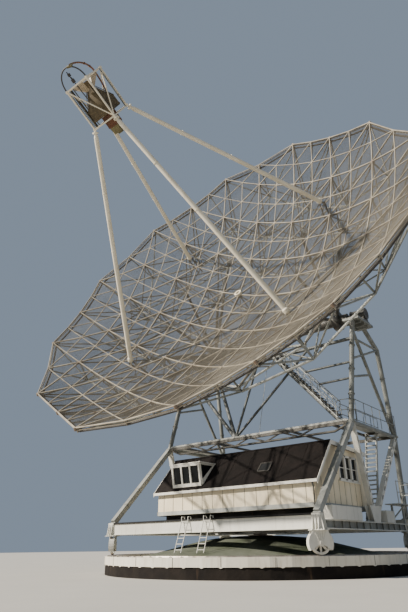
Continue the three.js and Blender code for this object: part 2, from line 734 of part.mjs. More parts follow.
// Bracing in the plane of the sloping front legs
function portal() {
  const at = (x, z) => V(x, frontY(z), z);
  const foot = at(-950, MID_Z);
  const top = (x) => at(x, PORTAL_Z);
  const parts = [
    tube(top(-TOWER_X), top(TOWER_X), 95, 6),
    tube(at(5350, MID_Z), top(950), 105, 6),
    tube(at(TOWER_X, 7150), top(1750), 50, 6),
    tube(at(TOWER_X, 9720), at(3150, 9720), 65, 6),
    tube(at(TOWER_X, 8790), at(4070, 8790), 60, 6),
    tube(foot, top(-5450), 110, 6),
    tube(foot, top(-3300), 110, 6),
    tube(foot, top(-150), 70, 6),
    tube(foot, top(3250), 70, 6),
  ];
  const seats = join([towerSeats, acrossBeam(MID_Y0, BEAM + 2 * SEAT)]);
  const below = box(-9000, -9000, 0, 9000, 9000, MID_Z);
  return shellOf(join(parts).subtract(seats).subtract(below));
}
add('portal_bracing', portal(), 'tower');

// Steep stair from the carriage up to the level frame
function stair() {
  const low = (x) => V(x, STAIR_Y0, SIDE_Z1);
  const high = (x) => V(x, STAIR_Y1 - 100, MID_Z);
  const parts = [STAIR_X0, STAIR_X1].map((x) => bar(low(x), high(x), 40, 180, UP));
  const treads = 19;
  for (let k = 1; k <= treads; k += 1) {
    const c = low(0).lerp(high(0), k / (treads + 1));
    parts.push(box(STAIR_X0, c.y - 110, c.z - 15, STAIR_X1, c.y + 90, c.z + 15));
  }
  const frame = join([
    box(0, 0, 0, 9000, 9000, SIDE_Z1 + SEAT),
    box(0, STAIR_Y1 - 55 - SEAT, MID_Z - 500, 9000, 9000, MID_Z + 500),
  ]);
  return shellOf(join(parts).subtract(frame));
}
add('tower_stair', stair(), 'white');

// Landing outside the right girder
add('side_landing', join([
  box(5930, 1950, 2860, 6650, 4350, 2900),
  ...[2720, 4150].map((y) => box(5900, y, SIDE_Z1 + SEAT, 5990, y + 90, 2880)),
  ...[2720, 4150].map((y) => bar(V(5945, y + 45, 2250), V(6600, y + 45, 2870), 50, 60, UP)),
]), 'white');

// Cabin shell with its floor, standing on bearers
function cabinShell() {
  const profile = (inset, floor, lift) => [
    [CAB_Y0 + inset, floor], [CAB_Y1 - inset, floor], [CAB_Y1 - inset, REAR_EAVES_Z + lift],
    [RIDGE_Y, RIDGE_Z + lift], [CAB_Y0 + inset, EAVES_Z + lift],
  ];
  const parts = [extrudedX(profile(0, CAB_Z0, 0), CAB_X0, CAB_X1)];
  const cuts = [extrudedX(profile(WALL_T, CAB_Z0 + FLOOR_T, 300), CAB_X0 + WALL_T, CAB_X1 - WALL_T)];
  for (const y of [-3500, -2000, -700, 650]) {
    parts.push(box(CAB_X0 + 300, y - 70, GIRDER_Z1 + SEAT, CAB_X1 - 300, y + 70, CAB_Z0 + 20));
  }
  for (const [y0, y1] of GABLE_PANES) {
    for (const x of [CAB_X0, CAB_X1]) cuts.push(box(x - 200, y0, PANE_Z0, x + 200, y1, PANE_Z1));
  }
  for (const x of [-2900, 900]) cuts.push(box(x, CAB_Y1 - 200, 3300, x + 1400, CAB_Y1 + 200, 4200));
  return join(parts).subtract(join(cuts));
}
add('cabin_shell', cabinShell(), 'cream');

function roof() {
  const slopeF = (RIDGE_Z - EAVES_Z) / (RIDGE_Y - CAB_Y0);
  const slopeB = (RIDGE_Z - REAR_EAVES_Z) / (CAB_Y1 - RIDGE_Y);
  const lift = 0.4;
  const yf = CAB_Y0 - EAVES_OUT;
  const yb = CAB_Y1 + EAVES_OUT;
  const zf = EAVES_Z - EAVES_OUT * slopeF + lift;
  const zb = REAR_EAVES_Z - EAVES_OUT * slopeB + lift;
  const ridge = RIDGE_Z + lift;
  return extrudedX([
    [yf, zf], [RIDGE_Y, ridge], [yb, zb],
    [yb, zb + ROOF_T], [RIDGE_Y, ridge + ROOF_T * 1.2], [yf, zf + ROOF_T],
  ], CAB_X0 - VERGE_OUT, CAB_X1 + VERGE_OUT);
}

// Dormer box let into the front roof slope
function dormerSolid(g) {
  const { x0, x1, z0, z1, y0, y1, lean } = DORMER;
  return extrudedX([
    [y0 - g, z1 + g], [y0 + lean - g, z0 - g], [y1 + g, z0 - g], [y1 + g, z1 + g],
  ], x0 - g, x1 + g);
}
add('cabin_roof', roof().subtract(dormerSolid(SEAT)), 'roof');

function dormer() {
  const { x0, x1, z0, z1, y0, y1, lean } = DORMER;
  const w = DORMER_WALL;
  const inner = (z) => y0 + lean * (z1 - z) / (z1 - z0) + w;
  const floor = z0 + w;
  const ceiling = z1 - w;
  const cuts = [extrudedX([
    [inner(ceiling), ceiling], [inner(floor), floor], [y1 + 200, floor], [y1 + 200, ceiling],
  ], x0 + w, x1 - w)];
  const panes = 3;
  const span = (x1 - x0 - 2 * w + DORMER_PANES.post) / panes;
  for (let k = 0; k < panes; k += 1) {
    const a = x0 + w + span * k;
    cuts.push(box(a, y0 - 200, DORMER_PANES.z0, a + span - DORMER_PANES.post, y0 + 400, DORMER_PANES.z1));
  }
  return dormerSolid(0).subtract(join(cuts));
}
add('cabin_dormer', dormer(), 'white');

// Ladders hooked on the front girder
const FACE_Y = -CAR_Y - GIRDER_W / 2;
function ladder(x) {
  const top = GIRDER_Z1 + 10;
  const at = (px, k) => V(px, FACE_Y - 25 - LADDER_LEAN * k, top - (top - LADDER_LOW) * k);
  const parts = [x, x + LADDER_W].map((px) => bar(at(px, 0), at(px, 1), 40, 70, V(1, 0, 0)));
  for (let k = 0.12; k < 0.9; k += 0.18) parts.push(tube(at(x - 10, k), at(x + LADDER_W + 10, k), 16, 6));
  parts.push(box(x - 20, FACE_Y - 55, GIRDER_Z1 - 45, x + LADDER_W + 20, FACE_Y - SEAT, GIRDER_Z1 - 3));
  return join(parts).subtract(box(-7000, FACE_Y - SEAT, 0, 7000, 0, 4000));
}
for (const [name, x] of [['a', -1000], ['b', 300]]) add(`front_ladder_${name}`, ladder(x), 'white');

// Cabinets on the right girder
for (const [name, y0, y1] of [['front', -3960, -1180], ['rear', 1560, 2560]]) {
  add(`cabinet_${name}`, box(5690, y0, SIDE_Z1 + SEAT, 6110, y1, 2590), 'white');
}

export default group;
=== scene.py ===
from math import atan2, cos, hypot, pi, radians as rad, sin, sqrt

import bmesh
import bpy
from mathutils import Matrix, Vector


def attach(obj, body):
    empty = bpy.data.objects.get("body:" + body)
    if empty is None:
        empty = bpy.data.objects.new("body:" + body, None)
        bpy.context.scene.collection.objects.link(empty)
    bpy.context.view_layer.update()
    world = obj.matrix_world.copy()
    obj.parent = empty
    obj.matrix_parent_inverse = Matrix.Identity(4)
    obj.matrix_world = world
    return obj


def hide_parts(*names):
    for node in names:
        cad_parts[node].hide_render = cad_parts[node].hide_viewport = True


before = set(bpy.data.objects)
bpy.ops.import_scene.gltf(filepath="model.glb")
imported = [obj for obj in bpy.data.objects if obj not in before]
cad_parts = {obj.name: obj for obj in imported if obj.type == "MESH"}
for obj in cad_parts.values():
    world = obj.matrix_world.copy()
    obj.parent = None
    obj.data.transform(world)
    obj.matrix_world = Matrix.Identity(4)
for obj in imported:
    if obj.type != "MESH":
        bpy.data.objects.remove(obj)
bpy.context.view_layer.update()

scene = bpy.context.scene


# Points and directions
def P(x, y, z):
    return Vector((x, y, z))


ORIGIN, X, Y, Z = P(0, 0, 0), P(1, 0, 0), P(0, 1, 0), P(0, 0, 1)
SQUARE = ((-1, -1), (1, -1), (1, 1), (-1, 1))


def unit(v):
    return v.normalized()


def axes(a, b, up=None):
    """Two directions across a line, the second one nearest to up."""
    z = unit(b - a)
    hint = up or (X if abs(z.z) > 0.9 else Z)
    x = unit(hint.cross(z))
    return x, z.cross(x)


def circle(c, x, y, r, n):
    angles = [2 * pi * k / n for k in range(n)]
    return [c + x * (r * cos(a)) + y * (r * sin(a)) for a in angles]


def square(c, u, v):
    """Corners about c, with half sides u and v."""
    return [c + u * i + v * j for i, j in SQUARE]


def spoke(a):
    """Directions away from the azimuth axis and round it."""
    return P(cos(a), sin(a), 0), P(-sin(a), cos(a), 0)


def spokes(n, shift=0.0):
    return [spoke(2 * pi * (k + shift) / n) for k in range(n)]


def around(items):
    """Pairs of neighbours in a closed list."""
    return list(zip(items, items[1:] + items[:1]))


def heading(pts, i, closed=False):
    """Direction of a line at its point i."""
    k = len(pts)
    before = pts[(i - 1) % k] if closed or i else pts[i]
    after = pts[(i + 1) % k] if closed or i < k - 1 else pts[i]
    return unit(after - before)


# Meshes
class Shape:
    """Closed bodies gathered into one mesh."""

    def __init__(self):
        self.verts = []
        self.faces = []

    def loft(self, rings, closed=False):
        """Skin over rings of points, capped or closed on itself."""
        start, m, k = len(self.verts), len(rings[0]), len(rings)
        for i in range(k if closed else k - 1):
            a, b = start + i * m, start + (i + 1) % k * m
            self.faces += [(a + j, a + (j + 1) % m, b + (j + 1) % m, b + j) for j in range(m)]
        if not closed:
            self.faces.append(tuple(start + j for j in reversed(range(m))))
            self.faces.append(tuple(start + (k - 1) * m + j for j in range(m)))
        self.verts += [tuple(p) for ring in rings for p in ring]


def tube(s, a, b, r, n=12, r2=None):
    x, y = axes(a, b)
    s.loft([circle(a, x, y, r, n), circle(b, x, y, r if r2 is None else r2, n)])


def bar(s, a, b, w, h, up=None):
    x, y = axes(a, b, up)
    s.loft([square(c, x * (w / 2), y * (h / 2)) for c in (a, b)])


def box(s, x0, y0, z0, x1, y1, z1):
    s.loft([[P(x0, y0, z), P(x1, y0, z), P(x1, y1, z), P(x0, y1, z)] for z in (z0, z1)])


def pipe(s, pts, r, n=8, closed=False):
    x = axes(ORIGIN, heading(pts, 0, closed))[0]
    rings = []
    for i, p in enumerate(pts):
        t = heading(pts, i, closed)
        x = unit(x - t * x.dot(t))
        rings.append(circle(p, x, t.cross(x), r, n))
    s.loft(rings, closed)


def strip(s, pts, ups, w, h):
    """Flat bar under a line of points; ups point off its upper face."""
    rings = []
    for i, p in enumerate(pts):
        t = heading(pts, i)
        side = unit(ups[i].cross(t))
        up = unit(t.cross(side))
        rings.append([p + side * (a * w / 2) - up * b for a, b in ((-1, h), (1, h), (1, 0), (-1, 0))])
    s.loft(rings)


def plate(s, pts, normal, t):
    n = unit(normal) * (t / 2)
    s.loft([[p - n for p in pts], [p + n for p in pts]])


def lathe(s, origin, x, y, z, profile, n):
    """Closed profile of radii and heights, turned about z."""
    s.loft([[origin + d * r + z * h for r, h in profile] for d in circle(ORIGIN, x, y, 1, n)], True)


def holed_bar(s, a, b, out, w, t, holes, hole_w, hole_l):
    """Flat plate from a to b, with long holes, facing out."""
    x, y = axes(a, b, out)
    z = unit(b - a)
    step = (b - a).length / holes
    sides = 12
    for k in range(holes):
        mid = (k + 0.5) * step
        outer, inner = [], []
        for q in range(sides):
            angle = 2 * pi * (q + 0.5) / sides
            c, d = cos(angle), sin(angle)
            m = max(abs(c), abs(d))
            outer.append((w / 2 * c / m, mid + step / 2 * d / m))
            inner.append((hole_w / 2 * c, mid + hole_l / 2 * d))
        layers = ((outer, -t / 2), (outer, t / 2), (inner, t / 2), (inner, -t / 2))
        s.loft([[a + x * p + z * q + y * off for p, q in line] for line, off in layers], True)


def piece(name, s, body, slot, material, angle=35, replaces=()):
    """Object of one shape; edges past the angle stay sharp."""
    mesh = bpy.data.meshes.new(name)
    mesh.from_pydata(s.verts, [], s.faces)
    work = bmesh.new()
    work.from_mesh(mesh)
    bmesh.ops.recalc_face_normals(work, faces=work.faces)
    work.to_mesh(mesh)
    work.free()
    mesh.shade_smooth()
    mesh.set_sharp_from_angle(angle=rad(angle))
    mesh.materials.append(material)
    obj = bpy.data.objects.new(name, mesh)
    scene.collection.objects.link(obj)
    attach(obj, body)
    if replaces:
        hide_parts(*replaces)


# Body and slot that many pieces share
LATTICE = "dish", "lattice_paint"
FEED_PART = "dish", "leg_paint"
HOOP_PART = "dish", "hoop_steel"
HORN_PART = "dish", "feed_horn_cover"
TOWER = "turntable", "tower_paint"
BEARING = "turntable", "bearing_paint"
CARRIAGE = "turntable", "carriage_paint"
CABIN = "turntable", "cabin_trim"


# Materials
class Paint:
    """Procedural surface in the object's own coordinates."""

    def __init__(self, name):
        self.mat = bpy.data.materials.new(name)
        self.mat.use_nodes = True
        self.tree = self.mat.node_tree
        self.tree.nodes.clear()
        out = self.node("OutputMaterial")
        self.shader = self.node("BsdfPrincipled")
        self.link(self.shader.outputs[0], out.inputs[0])
        self.coord = self.node("TexCoord").outputs["Object"]

    def node(self, kind, **values):
        n = self.tree.nodes.new("ShaderNode" + kind)
        for name, value in values.items():
            n.inputs[name.replace("_", " ")].default_value = value
        return n

    def link(self, a, b):
        self.tree.links.new(a, b)

    def noise(self, scale, detail=5.0, stretch=None, rough=0.6):
        n = self.node("TexNoise", Scale=scale, Detail=detail, Roughness=rough)
        source = self.coord
        if stretch:
            m = self.node("Mapping", Scale=stretch)
            self.link(self.coord, m.inputs["Vector"])
            source = m.outputs[0]
        self.link(source, n.inputs["Vector"])
        return n.outputs["Fac"]

    def span(self, value, low, high, top=1.0):
        """Value with low to high spread to 0 to top."""
        n = self.node("MapRange", From_Min=low, From_Max=high, To_Max=top)
        self.link(value, n.inputs["Value"])
        return n.outputs[0]

    def mix(self, factor, a, b):
        n = self.node("Mix")
        n.data_type = "RGBA"
        for value, socket in ((a, n.inputs[6]), (b, n.inputs[7])):
            if isinstance(value, tuple):
                socket.default_value = (*value, 1)
            else:
                self.link(value, socket)
        self.link(factor, n.inputs[0])
        return n.outputs[2]

    def patch(self, colour, tone, low, high, top, *noise):
        """Colour with a tone over it where the noise is high."""
        return self.mix(self.span(self.noise(*noise), low, high, top), colour, tone)

    def finish(self, colour, rough=0.6, metal=0.0, bump=0.08, grain=18.0, depth=0.01, gloss=0.4):
        """Material with uneven roughness and a fine bump."""
        self.link(colour, self.shader.inputs["Base Color"])
        self.shader.inputs["Specular IOR Level"].default_value = gloss
        self.shader.inputs["Metallic"].default_value = metal
        n = self.node("MapRange", To_Min=max(0.05, rough - 0.12), To_Max=min(1.0, rough + 0.12))
        self.link(self.noise(5.0), n.inputs["Value"])
        self.link(n.outputs[0], self.shader.inputs["Roughness"])
        b = self.node("Bump", Strength=bump, Distance=depth)
        self.link(self.noise(grain, 2.0), b.inputs["Height"])
        self.link(b.outputs[0], self.shader.inputs["Normal"])
        return self.mat


RUST, DULL = (0.19, 0.075, 0.03), (0.11, 0.06, 0.03)


def painted(name, base, other, grime, rust, scale, rough=0.6, metal=0.0, streak=0.5, bump=0.08,
            tone=RUST, gloss=0.4):
    """Two tones mixed, with streaks of grime and spots of rust."""
    p = Paint(name)
    colour = p.patch(base, other, 0.38, 0.64, 1.0, scale, 6.0)
    colour = p.patch(colour, grime, 0.52, 0.78, streak, 1.0, 5.0, (7.0, 7.0, 0.7))
    if rust:
        low, high, top = 0.66 - 0.12 * rust, 0.74 - 0.1 * rust, min(1.0, 0.5 + rust)
        colour = p.patch(colour, tone, low, high, top, 3.1, 9.0, None, 0.7)
    return p.finish(colour, rough, metal, bump, gloss=gloss)


# Paints of the dish
CREAM = painted("cream_paint", (0.8, 0.74, 0.6), (0.7, 0.64, 0.5), (0.44, 0.38, 0.28), 0.08, 0.8, rough=0.5)
BARS = painted(
    "bar_paint", (0.36, 0.325, 0.255), (0.22, 0.19, 0.145), (0.11, 0.09, 0.062), 0.4, 0.9,
    rough=0.65, tone=DULL)
WIRE = painted(
    "wire_mesh", (0.175, 0.158, 0.125), (0.095, 0.083, 0.063), (0.05, 0.042, 0.03), 0.3, 0.22,
    rough=0.75, tone=DULL, streak=0.9)
PLATES = painted(
    "node_rust", (0.24, 0.2, 0.15), (0.15, 0.11, 0.08), (0.09, 0.06, 0.04), 0.6, 2.0, rough=0.7, tone=DULL)
# Painted shade: dark brown for the webs and posts behind the bowl and the feed legs
WEB_SHADE = painted(
    "web_brown_shaded", (0.17, 0.16, 0.135), (0.105, 0.095, 0.08), (0.05, 0.045, 0.038), 0.3, 1.1, tone=DULL)
DARK = painted(
    "dark_steel", (0.06, 0.055, 0.048), (0.036, 0.032, 0.028), (0.018, 0.017, 0.016), 0.4, 2.2,
    metal=0.1, tone=DULL)
FEED = painted(
    "feed_tan", (0.12, 0.092, 0.05), (0.062, 0.048, 0.027), (0.033, 0.024, 0.015), 0.3, 2.5, rough=0.75)
TAN = painted("feed_panel", (0.46, 0.38, 0.27), (0.34, 0.28, 0.19), (0.2, 0.155, 0.1), 0.2, 2.0)
BROWN = painted("feed_brown", (0.15, 0.06, 0.026), (0.09, 0.036, 0.017), (0.04, 0.024, 0.013), 0.4, 3.0)
OLIVE = painted("feed_olive", (0.19, 0.165, 0.075), (0.125, 0.105, 0.05), (0.06, 0.047, 0.026), 0.2, 3.0)
HOOP = painted("hoop_rust", (0.19, 0.08, 0.04), (0.095, 0.055, 0.032), (0.05, 0.035, 0.025), 0.9, 5.0)

# Paints of the towers and the carriage
METAL = {"rough": 0.5, "metal": 0.1}
STEEL = painted(
    "tower_grey", (0.24, 0.25, 0.23), (0.135, 0.14, 0.125), (0.055, 0.052, 0.044), 0.35, 1.1, **METAL)
# Painted shade: the tower grey darkened for the bracing under the dish
PORTAL_SHADE = painted(
    "portal_grey_shaded", (0.135, 0.145, 0.14), (0.082, 0.088, 0.084), (0.04, 0.038, 0.034), 0.35, 1.1, **METAL)
FRAME = painted(
    "frame_grey", (0.115, 0.108, 0.092), (0.07, 0.065, 0.054), (0.034, 0.03, 0.025), 0.35, 1.6, tone=DULL)
LEGS = painted("leg_grey", (0.31, 0.32, 0.3), (0.2, 0.205, 0.19), (0.09, 0.088, 0.078), 0.25, 1.1, **METAL)
LIGHT = painted("light_grey", (0.42, 0.43, 0.4), (0.28, 0.29, 0.265), (0.13, 0.13, 0.12), 0.2, 1.1, **METAL)
GREY = painted(
    "bearing_grey", (0.115, 0.112, 0.1), (0.066, 0.064, 0.058), (0.03, 0.028, 0.025), 0.4, 1.6, **METAL)
# Painted shadow: near-black for the strips along the girders' top edges
FLANGE_SHADE = painted(
    "flange_shadow_dark", (0.018, 0.018, 0.018), (0.012, 0.012, 0.012), (0.03, 0.027, 0.024), 0.1, 1.6,
    rough=0.7, gloss=0.15)
WHITE = painted("off_white", (0.66, 0.65, 0.59), (0.57, 0.56, 0.5), (0.32, 0.31, 0.26), 0.12, 0.7, rough=0.5)
IRON = painted("wheel_white", (0.7, 0.68, 0.61), (0.56, 0.53, 0.46), (0.2, 0.17, 0.14), 0.25, 2.4, rough=0.5)
RING = painted(
    "ring_white", (0.68, 0.65, 0.56), (0.57, 0.53, 0.44), (0.31, 0.27, 0.2), 0.1, 0.6,
    rough=0.7, streak=0.6, bump=0.3)
RAIL = painted(
    "rail_worn", (0.3, 0.27, 0.24), (0.2, 0.17, 0.15), (0.1, 0.08, 0.07), 0.7, 2.0, rough=0.4, metal=0.6)

# Paints of the cabin
PANEL = painted(
    "cabin_cream", (0.84, 0.74, 0.54), (0.76, 0.65, 0.45), (0.4, 0.34, 0.24), 0.03, 0.9, streak=0.35)
BATTEN = painted("batten_shadow", (0.34, 0.3, 0.23), (0.26, 0.23, 0.17), (0.15, 0.13, 0.1), 0.0, 2.0)
TRIM = painted("white_trim", (0.76, 0.74, 0.67), (0.67, 0.65, 0.58), (0.4, 0.37, 0.31), 0.0, 1.2, rough=0.45)
ROOF = painted(
    "roof_felt", (0.0125, 0.0095, 0.0085), (0.0075, 0.006, 0.0055), (0.021, 0.016, 0.013), 0.0, 1.6,
    rough=0.85, bump=0.3, gloss=0.15)
# Painted shade: near-black paint for the space under the cabin floor
SHADE = painted(
    "underfloor_painted_shade", (0.035, 0.031, 0.027), (0.023, 0.02, 0.017), (0.012, 0.01, 0.009), 0.1, 1.5,
    rough=0.85, gloss=0.15)
PANE = painted(
    "skylight_pane", (0.014, 0.015, 0.016), (0.022, 0.024, 0.026), (0.03, 0.028, 0.025), 0.0, 2.0, gloss=0.12)


def glass_paint():
    p = Paint("window_glass")
    colour = p.patch((0.004, 0.005, 0.006), (0.011, 0.013, 0.015), 0.3, 0.7, 1.0, 2.2, 3.0)
    return p.finish(colour, rough=0.2, bump=0.02, grain=3.0, gloss=0.14)


def plinth_paint():
    """Dark wall with pale and black stains that run down."""
    p = Paint("plinth_stain")
    colour = p.patch((0.0085, 0.007, 0.0065), (0.017, 0.0135, 0.011), 0.35, 0.65, 1.0, 1.2, 6.0)
    colour = p.patch(colour, (0.065, 0.043, 0.027), 0.62, 0.7, 0.7, 1.0, 6.0, (2.2, 2.2, 0.25))
    colour = p.patch(colour, (0.006, 0.006, 0.006), 0.62, 0.72, 0.8, 1.0, 6.0, (3.6, 3.6, 0.3))
    return p.finish(colour, rough=0.9, bump=0.5, grain=9.0, depth=0.02, gloss=0.15)


def moss_paint():
    """Damp concrete with moss and pale patches."""
    p = Paint("dome_moss")
    colour = p.patch((0.115, 0.125, 0.098), (0.075, 0.085, 0.062), 0.35, 0.65, 1.0, 0.9, 7.0)
    colour = p.patch(colour, (0.045, 0.058, 0.028), 0.55, 0.68, 0.9, 0.35, 7.0)
    colour = p.patch(colour, (0.19, 0.18, 0.15), 0.62, 0.72, 0.6, 2.6, 6.0)
    return p.finish(colour, rough=0.9, bump=0.5, grain=6.0, depth=0.02, gloss=0.2)


GLASS = glass_paint()
PLINTH = plinth_paint()
MOSS = moss_paint()

# Dish: directions at rest, and the lattice's nodes on the bowl
TILT = rad(29.7)
DY = P(0, sin(TILT), cos(TILT))
DZ = P(0, -cos(TILT), sin(TILT))
AXIS = P(0, 2.44, 12.97)
VERTEX = AXIS + DZ * 3.9
FOCUS = 12.0
PITCH = 1.7335
TWIST = rad(30)
DIRECTIONS = ((1, 0), (0, 1), (1, -1))
RIM_NORM = 13


def dish(x, y, z):
    return VERTEX + X * x + DY * y + DZ * z


def bowl(x, y):
    return (x * x + y * y) / (4 * FOCUS)


def out_of(x, y):
    """Direction off the bowl's surface, towards the focus."""
    n = unit(P(-x / (2 * FOCUS), -y / (2 * FOCUS), 1))
    return X * n.x + DY * n.y + DZ * n.z


def on_bowl(x, y, lift=0.0):
    return dish(x, y, bowl(x, y)) + out_of(x, y) * lift


def grid(i, j):
    """Place of a node of the fine lattice."""
    u, v = PITCH * (i + j / 2), -PITCH * j * sqrt(3) / 2
    return u * cos(TWIST) + v * sin(TWIST), -u * sin(TWIST) + v * cos(TWIST)


def norm(n):
    """Squared distance of a node from the centre, in steps."""
    return n[0] * n[0] + n[1] * n[1] + n[0] * n[1]


def angle_of(p):
    return atan2(p[1], p[0])


MAIN = {(i, j): grid(2 * i, 2 * j) for i in range(-4, 5) for j in range(-4, 5) if norm((i, j)) <= RIM_NORM}
SIDES = around(sorted((p for n, p in MAIN.items() if norm(n) == RIM_NORM), key=angle_of))


def inside(x, y, room):
    """Whether a point is in the rim, or out by no more than room."""
    for (ax, ay), (bx, by) in SIDES:
        d = hypot(bx - ax, by - ay)
        if ((bx - ax) * (y - ay) - (by - ay) * (x - ax)) / d < -room:
            return False
    return True


def chord(px, py, dx, dy):
    """Part of a straight line inside the rim, as two distances."""
    low, high = -30.0, 30.0
    for (ax, ay), (bx, by) in SIDES:
        nx, ny = -(by - ay), bx - ax
        across = nx * dx + ny * dy
        room = nx * (px - ax) + ny * (py - ay)
        if abs(across) < 1e-9:
            if room < 0:
                return None
        elif across > 0:
            low = max(low, -room / across)
        else:
            high = min(high, -room / across)
    return (low, high) if high - low > 0.05 else None


def wires():
    """Two crossing families of wires laid on the bowl."""
    s = Shape()
    gap, r, count, straight = 0.082, 0.0082, 160, 1.6
    for turn in (45, 135):
        dx, dy = cos(rad(turn)), sin(rad(turn))
        for k in range(-count, count + 1):
            px, py = -dy * k * gap, dx * k * gap
            span = chord(px, py, dx, dy)
            if not span:
                continue
            n = max(1, round((span[1] - span[0]) / straight))
            rings = []
            for q in range(n + 1):
                t = span[0] + (span[1] - span[0]) * q / n
                x, y = px + dx * t, py + dy * t
                up = out_of(x, y)
                along = unit(X * dx + DY * dy + DZ * ((x * dx + y * dy) / (2 * FOCUS)))
                side = up.cross(along)
                c = dish(x, y, bowl(x, y))
                rings.append([c + up * r, c - up * (r / 2) + side * r, c - up * (r / 2) - side * r])
            s.loft(rings)
    return s


piece("reflector_mesh", wires(), "dish", "reflector_mesh", WIRE, 60, ["reflector_skin"])

nodes = [(i, j) for i in range(-9, 10) for j in range(-9, 10) if inside(*grid(i, j), 0.01)]


def moved(n, step, way=1):
    return n[0] + way * step[0], n[1] + way * step[1]


def rows(step):
    """Runs of neighbours along one direction of the lattice."""
    found = []
    for n in nodes:
        if moved(n, step, -1) in nodes:
            continue
        run = [n]
        while moved(run[-1], step) in nodes:
            run.append(moved(run[-1], step))
        if len(run) > 1:
            found.append(run)
    return found


def surface_bars():
    """Bars on the bowl. Every second row is heavy."""
    main, fine = Shape(), Shape()
    for step in DIRECTIONS:
        for run in rows(step):
            row = step[0] * run[0][1] - step[1] * run[0][0]
            s, lift, w, h = (fine, 0.022, 0.034, 0.055) if row % 2 else (main, 0.03, 0.046, 0.08)
            pts = [on_bowl(*grid(*n), lift) for n in run]
            strip(s, pts, [out_of(*grid(*n)) for n in run], w, h)
    return main, fine


main_bars, fine_bars = surface_bars()
piece("surface_bars", main_bars, *LATTICE, BARS, 30, ["front_lattice"])
piece("surface_bars_fine", fine_bars, *LATTICE, BARS, 30)

s = Shape()
for i, j in nodes:
    if i % 2 == 0 and j % 2 == 0:
        x, y = grid(i, j)
        tube(s, on_bowl(x, y, -0.12), on_bowl(x, y, 0.035), 0.085, 10)
piece("node_hubs", s, *LATTICE, PLATES)

# Rim: two light tubes with clamps, and a ring behind, painted dark as shade
rim = sorted((grid(*n) for n in nodes if not inside(*grid(*n), -0.05)), key=angle_of)


def by_rim(x, y, share, lift):
    """Point at a share of the way out to a rim node, lifted off the bowl."""
    return on_bowl(x * share, y * share, lift)


s = Shape()
pipe(s, [by_rim(x, y, 1, 0.01) for x, y in rim], 0.035, 8, True)
pipe(s, [by_rim(x, y, 0.998, -0.11) for x, y in rim], 0.03, 8, True)
for x, y in rim:
    bar(s, by_rim(x, y, 1, 0.04), by_rim(x, y, 0.995, -0.24), 0.055, 0.04, X)
piece("rim_tubes", s, *LATTICE, BARS)
INSET = 0.988
s = Shape()
pipe(s, [by_rim(x, y, INSET, -0.22) for x, y in rim], 0.055, 8, True)
for x, y in rim:
    tube(s, by_rim(x, y, INSET, -0.22), by_rim(x, y, INSET, -0.05), 0.025, 6)
piece("rim_back_ring_shaded", s, *LATTICE, DARK)

# Back layer: chords between nodes, posts and sloping webs; the webs and posts are a darker brown as painted
# shade
LAYER, CORE, OVER_CABIN = 1.28, 7, 4.0


def front_at(n):
    return dish(*MAIN[n], bowl(*MAIN[n]) - 0.085)


def back_at(n):
    return dish(*MAIN[n], bowl(*MAIN[n]) - 0.03 - LAYER)


def low_edge(n):
    """Whether a node comes near the cabin's roof at low elevation."""
    return abs(MAIN[n][0]) < OVER_CABIN and MAIN[n][1] < -8


chords, webs, posts = Shape(), Shape(), Shape()
for n in MAIN:
    if norm(n) <= CORE:
        tube(posts, front_at(n), back_at(n), 0.035, 6)
        bar(chords, back_at(n) - DZ * 0.07, back_at(n) + DZ * 0.07, 0.2, 0.2, X)
    for step in DIRECTIONS:
        m = moved(n, step)
        if m not in MAIN:
            continue
        near, far = (n, m) if norm(n) <= norm(m) else (m, n)
        if norm(far) <= CORE:
            tube(chords, back_at(n), back_at(m), 0.055, 8)
        sweeps_roof = low_edge(near) and low_edge(far) and abs(MAIN[near][0] - MAIN[far][0]) > 1
        if norm(near) <= CORE and not sweeps_roof:
            tube(webs, back_at(near), front_at(far), 0.04, 6)
            if norm(far) <= CORE:
                middle = back_at(near).lerp(back_at(far), 0.5)
                tube(webs, front_at(near), middle, 0.028, 6)
                tube(webs, front_at(far), middle, 0.028, 6)
piece("back_chords", chords, *LATTICE, LIGHT, 30, ["back_lattice"])
piece("back_webs", webs, *LATTICE, WEB_SHADE)
piece("back_posts", posts, *LATTICE, WEB_SHADE)

# Outer truss: a deep ring braced to the rim, surface and back layer; its chords are light grey as painted
# sunlight and its webs darker grey as painted shade
SPREAD = {7: 1.0, 9: 1.04}
DEPTH = {7: 2.2, 9: 1.5}
SHALLOW = {7: 1.6, 9: 0.6}


def deep_at(n):
    """Node of the deep ring, shallower over the cabin."""
    x, y = (c * SPREAD[norm(n)] for c in MAIN[n])
    depth = SHALLOW if abs(x) < OVER_CABIN and y < 0 else DEPTH
    return dish(x, y, bowl(x, y) - depth[norm(n)])


def apart(p, q):
    return hypot(p[0] - q[0], p[1] - q[1])


chords, webs = Shape(), Shape()
for n, m in around(sorted((n for n in MAIN if norm(n) in DEPTH), key=lambda n: angle_of(MAIN[n]))):
    c, spot = deep_at(n), MAIN[n]
    if not (low_edge(n) and low_edge(m)):
        tube(chords, c, deep_at(m), 0.06, 10)
    tube(webs, c, front_at(n), 0.05, 8)
    for x, y in sorted(rim, key=lambda p: apart(p, spot))[:3]:
        tube(webs, c, by_rim(x, y, 0.99, -0.2), 0.045, 8)
    for q in MAIN:
        if norm(q) in (3, 4) and apart(MAIN[q], spot) < 3.6:
            tube(webs, c, back_at(q), 0.04, 8)
piece("outer_chords", chords, *LATTICE, LIGHT)
piece("outer_webs", webs, *LATTICE, STEEL)

# Cradles from the axle collars to the back layer
COLLAR = [(0.301, -0.18), (0.56, -0.18), (0.56, 0.18), (0.301, 0.18)]
for side, sx in (("left", -1), ("right", 1)):
    s = Shape()
    c = AXIS + X * (sx * 4.55)
    lathe(s, c, Y, Z, X, COLLAR, 28)
    for n, (x, y) in MAIN.items():
        if 1 <= norm(n) <= 4 and sx * x > 1.0 and -4.5 < y < 5.3:
            b = back_at(n)
            tube(s, c + unit(b - c) * 0.45, b, 0.095, 12)
    piece("cradle_tubes_" + side, s, "dish", "tower_paint", GREY, replaces=["cradle_" + side])

